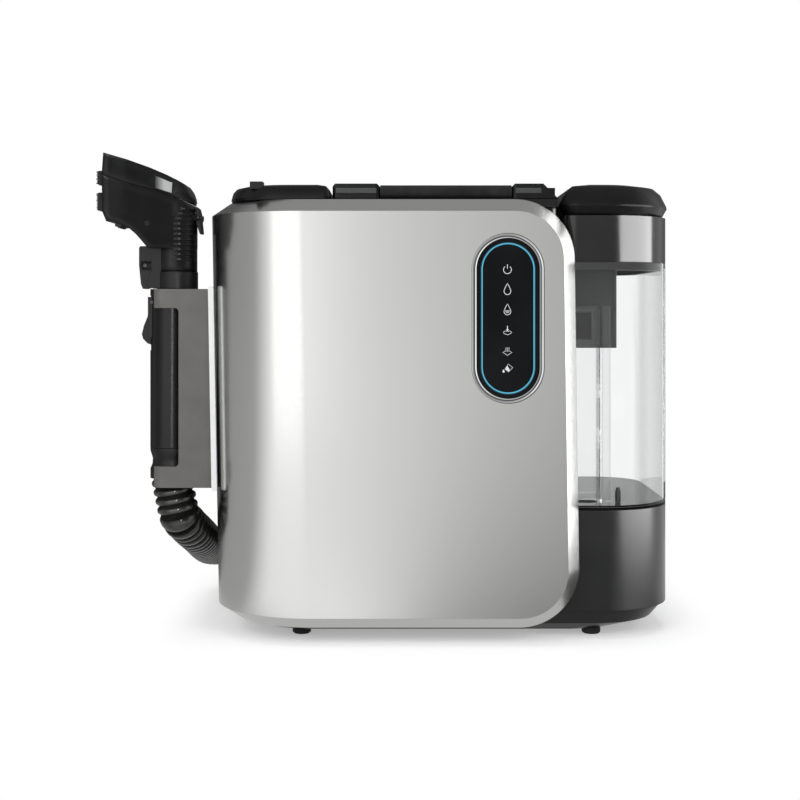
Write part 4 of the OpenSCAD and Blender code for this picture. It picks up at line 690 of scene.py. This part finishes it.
def make_hose():
    line = smooth_route(ROUTE, ROUTE_STEPS)
    length = sum((b - a).length for a, b in zip(line, line[1:]))
    ribs = int((length - 2 * PLAIN_END) / RIB_PITCH)
    pitch = (length - 2 * PLAIN_END) / ribs
    crest, groove = HOSE_RADIUS, HOSE_RADIUS - GROOVE
    stations = [(0.0, groove)]
    for i in range(ribs):
        stations += [(PLAIN_END + (i + share) * pitch, crest - depth * GROOVE) for share, depth in RIB]
    stations += [(length - PLAIN_END, groove), (length, groove)]
    # the bore, from the far end back to the cuff
    stations += [(length * (1 - i / BORE_RINGS), groove - HOSE_WALL) for i in range(BORE_RINGS + 1)]
    tube = sweep("ribbed_hose", line, stations, HOSE_SIDES, Vector((0, 1, 0)))
    # How deep each ring lies, from 0 on the crest to 1 in the groove; the hose's material turns it into
    # painted shade.
    depth = tube.data.attributes.new("groove", "FLOAT", "POINT")
    depths = [min(1.0, (crest - r) / GROOVE) for _, r in stations for _ in range(HOSE_SIDES)]
    depth.data.foreach_set("value", depths)
    # close the wall at the cuff
    rings = len(stations)
    first, last = 0, (rings - 1) * HOSE_SIDES
    shape = bmesh.new()
    shape.from_mesh(tube.data)
    shape.verts.ensure_lookup_table()
    for k in range(HOSE_SIDES):
        n = (k + 1) % HOSE_SIDES
        shape.faces.new([shape.verts[i] for i in (last + k, last + n, first + n, first + k)])
    bmesh.ops.recalc_face_normals(shape, faces=shape.faces)
    shape.to_mesh(tube.data)
    shape.free()
    for face in tube.data.polygons:
        face.use_smooth = True
    wear(tube, HOSE)
    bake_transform(tube)
    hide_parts("hose")


make_hose()

# ---- brush ----

# Heights of the two strips, and the middle and width of the mouth that they line
BRUSH_ROWS = ((317.2, 330.6), (336.6, 346.8))
BRUSH_Y = 67.5
MOUTH_W = 68.0
# The bars' front and back, the bristles' roots and their longest tips, all along x
BAR_X = (-80.3, -76.9)
ROOT_X = -77.3
TIP_X = -81.75
BRISTLES = 43
BRISTLE_R = 0.78
BRISTLE_SIDES = 5
ROW_STEP = 1.7


def make_brush():
    rng = random.Random(11)
    points, faces = [], []

    def block(x0, y0, z0, x1, y1, z1, r):
        """A bar along y with its long edges rounded."""
        outline = []
        left, right, low, high = x0 + r, x1 - r, z0 + r, z1 - r
        for cx, cz, a0 in ((right, high, 0), (left, high, 90), (left, low, 180), (right, low, 270)):
            for k in range(4):
                a = math.radians(a0 + 30 * k)
                outline.append((cx + r * math.cos(a), cz + r * math.sin(a)))
        start, n = len(points), len(outline)
        for y in (y0, y1):
            points.extend(at(x, y, z) for x, z in outline)
        for k in range(n):
            faces.append((start + k, start + (k + 1) % n, start + n + (k + 1) % n, start + n + k))
        faces.append(tuple(start + k for k in reversed(range(n))))
        faces.append(tuple(start + n + k for k in range(n)))

    def bristle(y, z, lean_y, lean_z, tip):
        start, sides = len(points), BRISTLE_SIDES
        for share, width in ((0.0, 1.0), (0.5, 1.0), (0.9, 0.8), (1.0, 0.35)):
            r = BRISTLE_R * width
            x = ROOT_X + (tip - ROOT_X) * share
            middle_y, middle_z = y + lean_y * share**2, z + lean_z * share**2
            for k in range(sides):
                a = 2 * math.pi * k / sides
                points.append(at(x, middle_y + r * math.cos(a), middle_z + r * math.sin(a)))
        for i in range(3):
            for k in range(sides):
                n = (k + 1) % sides
                a = start + i * sides
                faces.append((a + k, a + n, a + sides + n, a + sides + k))
        faces.append(tuple(start + 3 * sides + k for k in range(sides)))

    for z0, z1 in BRUSH_ROWS:
        block(BAR_X[0], BRUSH_Y - MOUTH_W / 2 + 1, z0, BAR_X[1], BRUSH_Y + MOUTH_W / 2 - 1, z1, 0.9)
        rows = round((z1 - z0) / ROW_STEP)
        for k in range(rows):
            for i in range(BRISTLES):
                y = BRUSH_Y - 32 + i * 64 / (BRISTLES - 1) + (k % 2) * 0.5
                z = z0 + 1.0 + k * (z1 - z0 - 2.0) / (rows - 1)
                bristle(y, z, rng.uniform(-0.25, 0.25), rng.uniform(-0.3, 0.3), TIP_X + rng.uniform(0, 0.6))
    brush = outward(mesh_object("brush_strips", points, faces, smooth=False))
    wear(brush, BRISTLE)
    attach(brush, "handset")
    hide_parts("nozzle_brush")


make_brush()

# ---- small parts of the handset ----

NECK_X, NECK_Y, NECK_R = -26.5, 67.5, 15.5
# Outline of a cheek beside the trigger, and how far its two faces lie from the handle's middle
CHEEK = (
    (-46.5, 290.5), (-37.0, 291.0), (-37.0, 259.6), (-47.2, 259.6), (-46.8, 268.6), (-44.4, 272.0),
    (-44.6, 286.0),
)
CHEEK_Y = (10.2, 11.1)
# Ribs round the neck: how many, the height of the top one, and their step, rise and half width
RIBS, RIB_TOP, RIB_STEP, RIB_RISE, RIB_HALF = 11, 320.0, 3.85, 1.1, 0.95
# Screw in the head's side: its place, the slope it sits on, and the radii of its well and head
SCREW = (-45.2, 42.8, 308.4)
SCREW_SLOPE = Vector((0.4416, -0.8972, 0.0))
WELL_R, SCREW_R = 2.1, 1.25
DISC_SIDES = 24


def plate(outline, y0, y1):
    """Points and faces of an x-z outline pushed from y0 to y1."""
    n = len(outline)
    points = [at(x, y, z) for y in (y0, y1) for x, z in outline]
    faces = [(k, (k + 1) % n, n + (k + 1) % n, n + k) for k in range(n)]
    return points, faces + [tuple(range(n)), tuple(range(n, 2 * n))]


def neck_rib(z, first, last, proud, half):
    """Points and faces of a rib round part of the neck; angles from the front, to the right."""
    steps = 14
    points, faces = [], []
    for i in range(steps + 1):
        a = math.radians(first + (last - first) * i / steps)
        lift = proud * min(1.0, 4 * i / steps, 4 * (steps - i) / steps + 0.2)
        for r, dz in ((NECK_R - 1.0, -half), (NECK_R + lift * 0.7, -half), (NECK_R + lift, -half * 0.4),
                      (NECK_R + lift, half * 0.4), (NECK_R + lift * 0.7, half), (NECK_R - 1.0, half)):
            points.append(at(NECK_X + r * math.sin(a), NECK_Y - r * math.cos(a), z + dz))
    for i in range(steps):
        for k in range(6):
            n = (k + 1) % 6
            faces.append((i * 6 + k, i * 6 + n, (i + 1) * 6 + n, (i + 1) * 6 + k))
    return points, faces + [tuple(range(6)), tuple(range(steps * 6, steps * 6 + 6))]


def disc(middle, way, r, proud):
    """Points and faces of a flat round head on a surface whose outward normal is way."""
    across, up = Vector((-way.y, way.x, 0.0)), Vector((0, 0, 1))
    points, n = [], DISC_SIDES
    for lift in (-0.6, proud):
        for k in range(n):
            a = 2 * math.pi * k / n
            points.append(at(*(Vector(middle) + way * lift + r * (math.cos(a) * across + math.sin(a) * up))))
    faces = [(k, (k + 1) % n, n + (k + 1) % n, n + k) for k in range(n)]
    return points, faces + [tuple(range(n)), tuple(range(n, 2 * n))]


def joined(name, shapes, material):
    points, faces = [], []
    for more_points, more_faces in shapes:
        faces += [tuple(i + len(points) for i in face) for face in more_faces]
        points += more_points
    made = outward(mesh_object(name, points, faces, smooth=False))
    wear(made, material)
    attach(made, "handset")


def make_handset_details():
    cheeks = [plate(CHEEK, *(NECK_Y + side * y for y in CHEEK_Y)) for side in (-1, 1)]
    joined("trigger_cheeks", cheeks, GRIP)
    ribs = []
    for i in range(RIBS):
        z = RIB_TOP - RIB_STEP * i
        # the upper ribs are shorter at the front and at the back
        reach = 0 if i > 2 else (3 - i) * 7
        ribs.append(neck_rib(z, -4 + reach, 70, RIB_RISE, RIB_HALF))
        ribs.append(neck_rib(z, 110, 184 - reach, RIB_RISE, RIB_HALF))
    joined("neck_ribs", ribs, GRIP)
    joined("head_screw_well", [disc(SCREW, SCREW_SLOPE, WELL_R, 0.06)], RUBBER)
    joined("head_screw", [disc(SCREW, SCREW_SLOPE, SCREW_R, 0.12)], DARK_STEEL)


make_handset_details()

# ---- symbols of the touch keys ----

ICON_X = 222.3
ICON_Z = {"power": 272.5, "drop": 258.1, "half_drop": 243.4, "spray": 228.2, "steam": 213.6, "empty": 200.9}
# The symbols lie 0.06 mm before the glass
ICON_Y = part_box("touch_panel")[0].y * 1000 + ORIGIN.y - 0.06
LINE_W = 0.46


def arc(cx, cz, r, a0, a1, n=24):
    steps = [math.radians(a0 + (a1 - a0) * i / n) for i in range(n + 1)]
    return [(cx + r * math.cos(a), cz + r * math.sin(a)) for a in steps]


def drop_outline(cx, cz, h, w):
    """A water drop: a round belly with a point on top."""
    r = w / 2
    belly = cz - h / 2 + r
    out = arc(cx, belly, r, -200, 20, 30)
    tip = (cx, cz + h / 2)
    right = [((1 - t) ** 2 * out[-1][0] + 2 * t * (1 - t) * (cx + r * 0.62) + t * t * tip[0],
              (1 - t) ** 2 * out[-1][1] + 2 * t * (1 - t) * (belly + r * 1.25) + t * t * tip[1])
             for t in (0.25, 0.5, 0.75, 1.0)]
    left = [(2 * cx - x, z) for x, z in reversed(right[:-1])]
    return out + right + left


def ribbon(points, width, closed=False):
    """Flat strip along a line in the x-z plane, as points and faces."""
    n = len(points)
    sides = []
    for i in range(n):
        a = points[i - 1] if i or closed else points[i]
        b = points[(i + 1) % n] if i < n - 1 or closed else points[i]
        d = Vector((b[0] - a[0], b[1] - a[1]))
        d.normalize()
        sides.append((-d.y * width / 2, d.x * width / 2))
    pts = [(p[0] + s[0], p[1] + s[1]) for p, s in zip(points, sides)]
    pts += [(p[0] - s[0], p[1] - s[1]) for p, s in zip(points, sides)]
    count = n if closed else n - 1
    return pts, [(i, (i + 1) % n, n + (i + 1) % n, n + i) for i in range(count)]


def icon(name, strips, fills):
    points, faces = [], []
    for line, width, closed in strips:
        pts, quads = ribbon(line, width, closed)
        faces += [tuple(i + len(points) for i in q) for q in quads]
        points += pts
    for outline in fills:
        faces.append(tuple(range(len(points), len(points) + len(outline))))
        points += outline
    obj = mesh_object("symbol_" + name, [at(x, ICON_Y, z) for x, z in points], faces, smooth=False)
    wear(obj, ICON)
    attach(obj, "body")


def placed(name, points):
    """Points given from the middle of a symbol, in its place on the glass."""
    return [(ICON_X + x, ICON_Z[name] + z) for x, z in points]


def make_icons():
    x = ICON_X

    z = ICON_Z["power"]
    stem = [(x, z + 0.2), (x, z + 3.4)]
    icon("power", [(arc(x, z - 0.5, 2.85, 128, 412, 40), LINE_W, False), (stem, LINE_W, False)], [])

    icon("drop", [(drop_outline(x, ICON_Z["drop"], 8.0, 4.9), LINE_W, True)], [])

    z = ICON_Z["half_drop"]
    level = [([(x - half, z - down), (x + half, z - down)], 0.34, False)
             for half, down in ((1.5, 0.9), (1.55, 1.65), (1.2, 2.4))]
    icon("half_drop", [(drop_outline(x, z, 7.8, 4.9), LINE_W * 0.9, True), *level], [])

    z = ICON_Z["spray"]
    diamond = placed("spray", (
        (-1.3, -0.1), (-3.1, -1.2), (-2.5, -2.1), (0, -3.1), (2.5, -2.1), (3.1, -1.2), (1.3, -0.1),
    ))
    jet = ([(x, z + 3.4), (x, z + 0.6)], LINE_W * 1.3, False)
    splash = (arc(x, z - 1.3, 1.0, 20, 160, 8), LINE_W * 0.7, False)
    head = placed("spray", ((-1.1, 0.9), (1.1, 0.9), (0, -0.6)))
    icon("spray", [(diamond, LINE_W * 0.8, False), jet, splash], [head])

    z = ICON_Z["steam"]
    diamond = placed("steam", ((-1.7, -0.1), (-3.3, -1.1), (0, -3.2), (3.3, -1.1), (1.7, -0.1)))
    strips = [(diamond, LINE_W * 0.8, False)]
    for dx in (-1.1, 0, 1.1):
        wave = [(x + dx + 0.25 * math.sin(k * 1.6), z - 0.6 + k * 0.5) for k in range(7)]
        strips.append((wave, LINE_W * 0.65, False))
    icon("steam", strips, [])

    z = ICON_Z["empty"]
    cos, sin = math.cos(math.radians(-38)), math.sin(math.radians(-38))

    def tilted(px, pz):
        px, pz = px * 0.85, pz * 0.85
        return (x + 0.9 + px * cos - pz * sin, z + 0.3 + px * sin + pz * cos)

    pot = [tilted(*p) for p in ((-2.4, 2.5), (2.4, 2.5), (1.9, -2.6), (-1.9, -2.6))]
    water = [tilted(*p) for p in ((-2.1, 0.9), (1.9, -0.8), (1.7, -2.4), (-1.7, -2.4))]
    icon("empty", [(pot, LINE_W * 0.8, True)], [water, drop_outline(x - 2.8, z - 1.8, 2.4, 1.6)])


make_icons()

# ---- floor, backdrop and light ----

# Middle and half size of what stands on the floor
FOOTPRINT = ((0.041, 0.0, 0.0), (0.165, 0.115, 0.0))
# The paper's grey, the light that it gives by itself, and how far from the object it fades to white
PAPER = 0.82
LIFT = 0.36
FADE = 0.058
# What gloss sees of the floor: a plain grey near the object, the walls from further out, and their strength
NEAR_GREY = 0.5
NEAR = (0.02, 0.11)
FLOOR_GLOSS = 1.12
FLOOR_SIZE = 9.0

# What gloss sees of the studio: degrees round from the camera's side, right positive, and brightness
STUDIO = (
    (-180, 0.10), (-117, 0.10), (-106, 0.34), (-64, 0.38), (-50, 0.80), (-44, 0.95), (-8, 0.95), (2, 0.72),
    (7, 0.55), (14, 0.42), (28, 0.27), (76, 0.30), (85, 0.95), (122, 0.95), (138, 0.3), (180, 0.10),
)
# Its roof, the heights between which the walls pass into it, and the light of the room
OVERHEAD = 0.32
ROOF = (0.5, 0.85)
ROOM = 0.42


def backdrop_material():
    """Pale paper that keeps the object's shadow, and is plain white to the eye further out."""
    material = bpy.data.materials.new("pale floor")
    material.use_nodes = True
    tree = material.node_tree
    tree.nodes.clear()

    def node(kind, **settings):
        made = tree.nodes.new(kind)
        for key, value in settings.items():
            setattr(made, key, value)
        return made

    link = tree.links.new
    out = node("ShaderNodeOutputMaterial")
    paper = node("ShaderNodeBsdfDiffuse")
    paper.inputs["Color"].default_value = (*grey(PAPER), 1)
    lift, white = node("ShaderNodeEmission"), node("ShaderNodeEmission")
    lift.inputs["Strength"].default_value = LIFT
    white.inputs["Strength"].default_value = 1.0
    lifted = node("ShaderNodeAddShader")
    link(paper.outputs[0], lifted.inputs[0])
    link(lift.outputs[0], lifted.inputs[1])
    # how far a point of the floor lies outside the body's footprint
    place = node("ShaderNodeTexCoord")
    from_middle = node("ShaderNodeVectorMath", operation="SUBTRACT")
    from_middle.inputs[1].default_value = FOOTPRINT[0]
    mirrored = node("ShaderNodeVectorMath", operation="ABSOLUTE")
    outside = node("ShaderNodeVectorMath", operation="SUBTRACT")
    outside.inputs[1].default_value = FOOTPRINT[1]
    clipped = node("ShaderNodeVectorMath", operation="MAXIMUM")
    clipped.inputs[1].default_value = (0, 0, 0)
    far = node("ShaderNodeVectorMath", operation="LENGTH")
    link(place.outputs["Object"], from_middle.inputs[0])
    for source, target in ((from_middle, mirrored), (mirrored, outside), (outside, clipped), (clipped, far)):
        link(source.outputs[0], target.inputs[0])
    fade = node("ShaderNodeMapRange", interpolation_type="SMOOTHSTEP")
    fade.inputs["From Max"].default_value = FADE
    link(far.outputs["Value"], fade.inputs["Value"])
    shown = node("ShaderNodeMixShader")
    link(fade.outputs[0], shown.inputs[0])
    link(lifted.outputs[0], shown.inputs[1])
    link(white.outputs[0], shown.inputs[2])
    # in gloss the floor carries on what the walls above it show
    walls = node("ShaderNodeEmission")
    walls.inputs["Strength"].default_value = FLOOR_GLOSS
    near = node("ShaderNodeMapRange", interpolation_type="SMOOTHSTEP")
    near.inputs["From Min"].default_value = NEAR[0]
    near.inputs["From Max"].default_value = NEAR[1]
    link(far.outputs["Value"], near.inputs["Value"])
    ground = node("ShaderNodeMix", data_type="RGBA")
    ground.inputs["A"].default_value = (*grey(NEAR_GREY), 1)
    link(near.outputs[0], ground.inputs["Factor"])
    link(studio_walls(tree, place.outputs["Object"]), ground.inputs["B"])
    link(ground.outputs["Result"], walls.inputs["Color"])
    gloss = choose(tree, ("Is Glossy Ray",), paper, walls)
    seen = choose(tree, ("Is Camera Ray", "Is Transmission Ray"), gloss, shown)
    link(seen.outputs[0], out.inputs["Surface"])
    return material


def studio_walls(tree, place):
    """The walls' brightness in the direction of a point, as a colour."""
    link = tree.links.new
    way = tree.nodes.new("ShaderNodeSeparateXYZ")
    link(place, way.inputs[0])
    ahead, turn = tree.nodes.new("ShaderNodeMath"), tree.nodes.new("ShaderNodeMath")
    ahead.operation = "MULTIPLY"
    ahead.inputs[1].default_value = -1.0
    turn.operation = "ARCTAN2"
    link(way.outputs["Y"], ahead.inputs[0])
    link(way.outputs["X"], turn.inputs[0])
    link(ahead.outputs[0], turn.inputs[1])
    share = tree.nodes.new("ShaderNodeMapRange")
    share.inputs["From Min"].default_value = -math.pi
    share.inputs["From Max"].default_value = math.pi
    link(turn.outputs[0], share.inputs["Value"])
    ramp = tree.nodes.new("ShaderNodeValToRGB")
    stops = ramp.color_ramp.elements
    while len(stops) < len(STUDIO):
        stops.new(0.5)
    for stop, (degrees, level) in zip(stops, STUDIO):
        stop.position = (degrees + 180) / 360
        stop.color = (*grey(level), 1)
    link(share.outputs[0], ramp.inputs["Fac"])
    return ramp.outputs["Color"]


def choose(tree, kinds, other, shown):
    """One shader for the named kinds of rays and another for the rest."""
    path = tree.nodes.new("ShaderNodeLightPath")
    value = path.outputs[kinds[0]]
    for kind in kinds[1:]:
        either = tree.nodes.new("ShaderNodeMath")
        either.operation = "MAXIMUM"
        tree.links.new(value, either.inputs[0])
        tree.links.new(path.outputs[kind], either.inputs[1])
        value = either.outputs[0]
    mix = tree.nodes.new("ShaderNodeMixShader")
    tree.links.new(value, mix.inputs[0])
    tree.links.new(other.outputs[0], mix.inputs[1])
    tree.links.new(shown.outputs[0], mix.inputs[2])
    return mix


def make_floor():
    mesh = bpy.data.meshes.new("floor")
    corners = [(x * FLOOR_SIZE, y * FLOOR_SIZE, 0) for x, y in ((-1, -1), (1, -1), (1, 1), (-1, 1))]
    mesh.from_pydata(corners, [], [(0, 1, 2, 3)])
    floor = bpy.data.objects.new("floor", mesh)
    scene.collection.objects.link(floor)
    floor.data.materials.append(backdrop_material())


def make_world():
    """White to the eye and through glass, white walls and dark gaps in gloss, soft grey as light."""
    world = bpy.data.worlds.new("studio")
    scene.world = world
    world.use_nodes = True
    tree = world.node_tree
    tree.nodes.clear()
    link = tree.links.new

    def background(color, strength):
        made = tree.nodes.new("ShaderNodeBackground")
        made.inputs["Color"].default_value = (*color, 1)
        made.inputs["Strength"].default_value = strength
        return made

    room = background((0.98, 0.99, 1.0), ROOM)
    white = background((1, 1, 1), 1.0)
    walls = background((1, 1, 1), 1.0)
    place = tree.nodes.new("ShaderNodeTexCoord").outputs["Generated"]
    way = tree.nodes.new("ShaderNodeSeparateXYZ")
    link(place, way.inputs[0])
    high = tree.nodes.new("ShaderNodeMapRange")
    high.interpolation_type = "SMOOTHSTEP"
    high.inputs["From Min"].default_value = ROOF[0]
    high.inputs["From Max"].default_value = ROOF[1]
    link(way.outputs["Z"], high.inputs["Value"])
    roof = tree.nodes.new("ShaderNodeMix")
    roof.data_type = "RGBA"
    roof.inputs["B"].default_value = (*grey(OVERHEAD), 1)
    link(high.outputs[0], roof.inputs["Factor"])
    link(studio_walls(tree, place), roof.inputs["A"])
    link(roof.outputs["Result"], walls.inputs["Color"])
    gloss = choose(tree, ("Is Glossy Ray",), room, walls)
    seen = choose(tree, ("Is Camera Ray", "Is Transmission Ray"), gloss, white)
    link(seen.outputs[0], tree.nodes.new("ShaderNodeOutputWorld").inputs["Surface"])


def softbox(name, place, target, width, height, power, gloss=True, light=True, only=()):
    """An area lamp; without gloss it only lights, without light it is only mirrored, by the pieces named."""
    data = bpy.data.lights.new(name, "AREA")
    data.shape = "RECTANGLE"
    data.size = width
    data.size_y = height
    data.energy = power
    lamp = bpy.data.objects.new(name, data)
    scene.collection.objects.link(lamp)
    lamp.location = place
    aim = (Vector(target) - Vector(place)).normalized()
    lamp.rotation_euler = aim.to_track_quat("-Z", "Y").to_euler()
    lamp.visible_camera = False
    lamp.visible_glossy = gloss
    lamp.visible_diffuse = light
    lamp.visible_transmission = False
    if only:
        group = bpy.data.collections.new(name + "_for")
        for piece in only:
            group.objects.link(nodes[piece] if piece in nodes else bpy.data.objects[piece])
        lamp.light_linking.receiver_collection = group
    return lamp


def around(angle, distance, z):
    """A place at an angle from the camera's side: 0 in front, 90 on the right."""
    a = math.radians(angle)
    return (distance * math.sin(a), -distance * math.cos(a), z)


CORE = ("tank_collar", "base_housing", "bottom_tray", "tower_housing")
FRONT = ("silver_shell", "panel_bezel")
HELD = (
    "handset_handle", "handset_collar", "hose_cuff", "steam_trigger", "spray_trigger", "ribbed_hose",
    "trigger_cheeks", "neck_ribs",
)
HEAD_PIECES = ("nozzle_body", "nozzle_cover", "nozzle_latch")


def make_lights():
    middle = (0, 0, 0.2)
    softbox("left_light", around(-35, 1.7, 0.9), middle, 1.0, 1.0, 11.0, gloss=False)
    softbox("right_light", around(40, 1.7, 0.9), middle, 1.0, 1.0, 9.0, gloss=False)
    softbox("top_light", (0.0, 0.0, 1.6), middle, 1.0, 0.9, 8, gloss=False)

    def card(name, place, target, width, height, power, only=()):
        softbox(name, place, target, width, height, power, light=False, only=only)

    card("left_card", around(-23.5, 1.7, 0.3), middle, 1.10, 1.9, 4.0)
    # close to the tank's corner, a tall card fills 28 to 96 degrees of what the corner mirrors
    corner = Vector((0.19, -0.10, 0.40))
    card("corner_card", corner + Vector(around(62, 0.45, 0.0)), corner, 0.60, 1.1, 26, CORE)
    card("cap_card", corner + Vector(around(62, 0.45, -0.1)), corner, 0.60, 0.5, 5.0, ("tank_cap",))
    edge = Vector((0.13, -0.12, 0.45))
    card("right_card", edge + Vector(around(104, 0.5, 0.0)), edge, 0.36, 1.2, 5.0, FRONT)
    hand = Vector((-0.19, -0.07, 0.25))
    card("hand_card", hand + Vector(around(10, 1.5, 0.0)), hand, 0.13, 1.3, 6.0, HELD)
    card("hand_top_card", (-0.24, -0.35, 1.25), hand, 0.5, 0.5, 5.0, HELD + HEAD_PIECES)


make_floor()
make_world()
make_lights()
scene.view_settings.view_transform = "Standard"
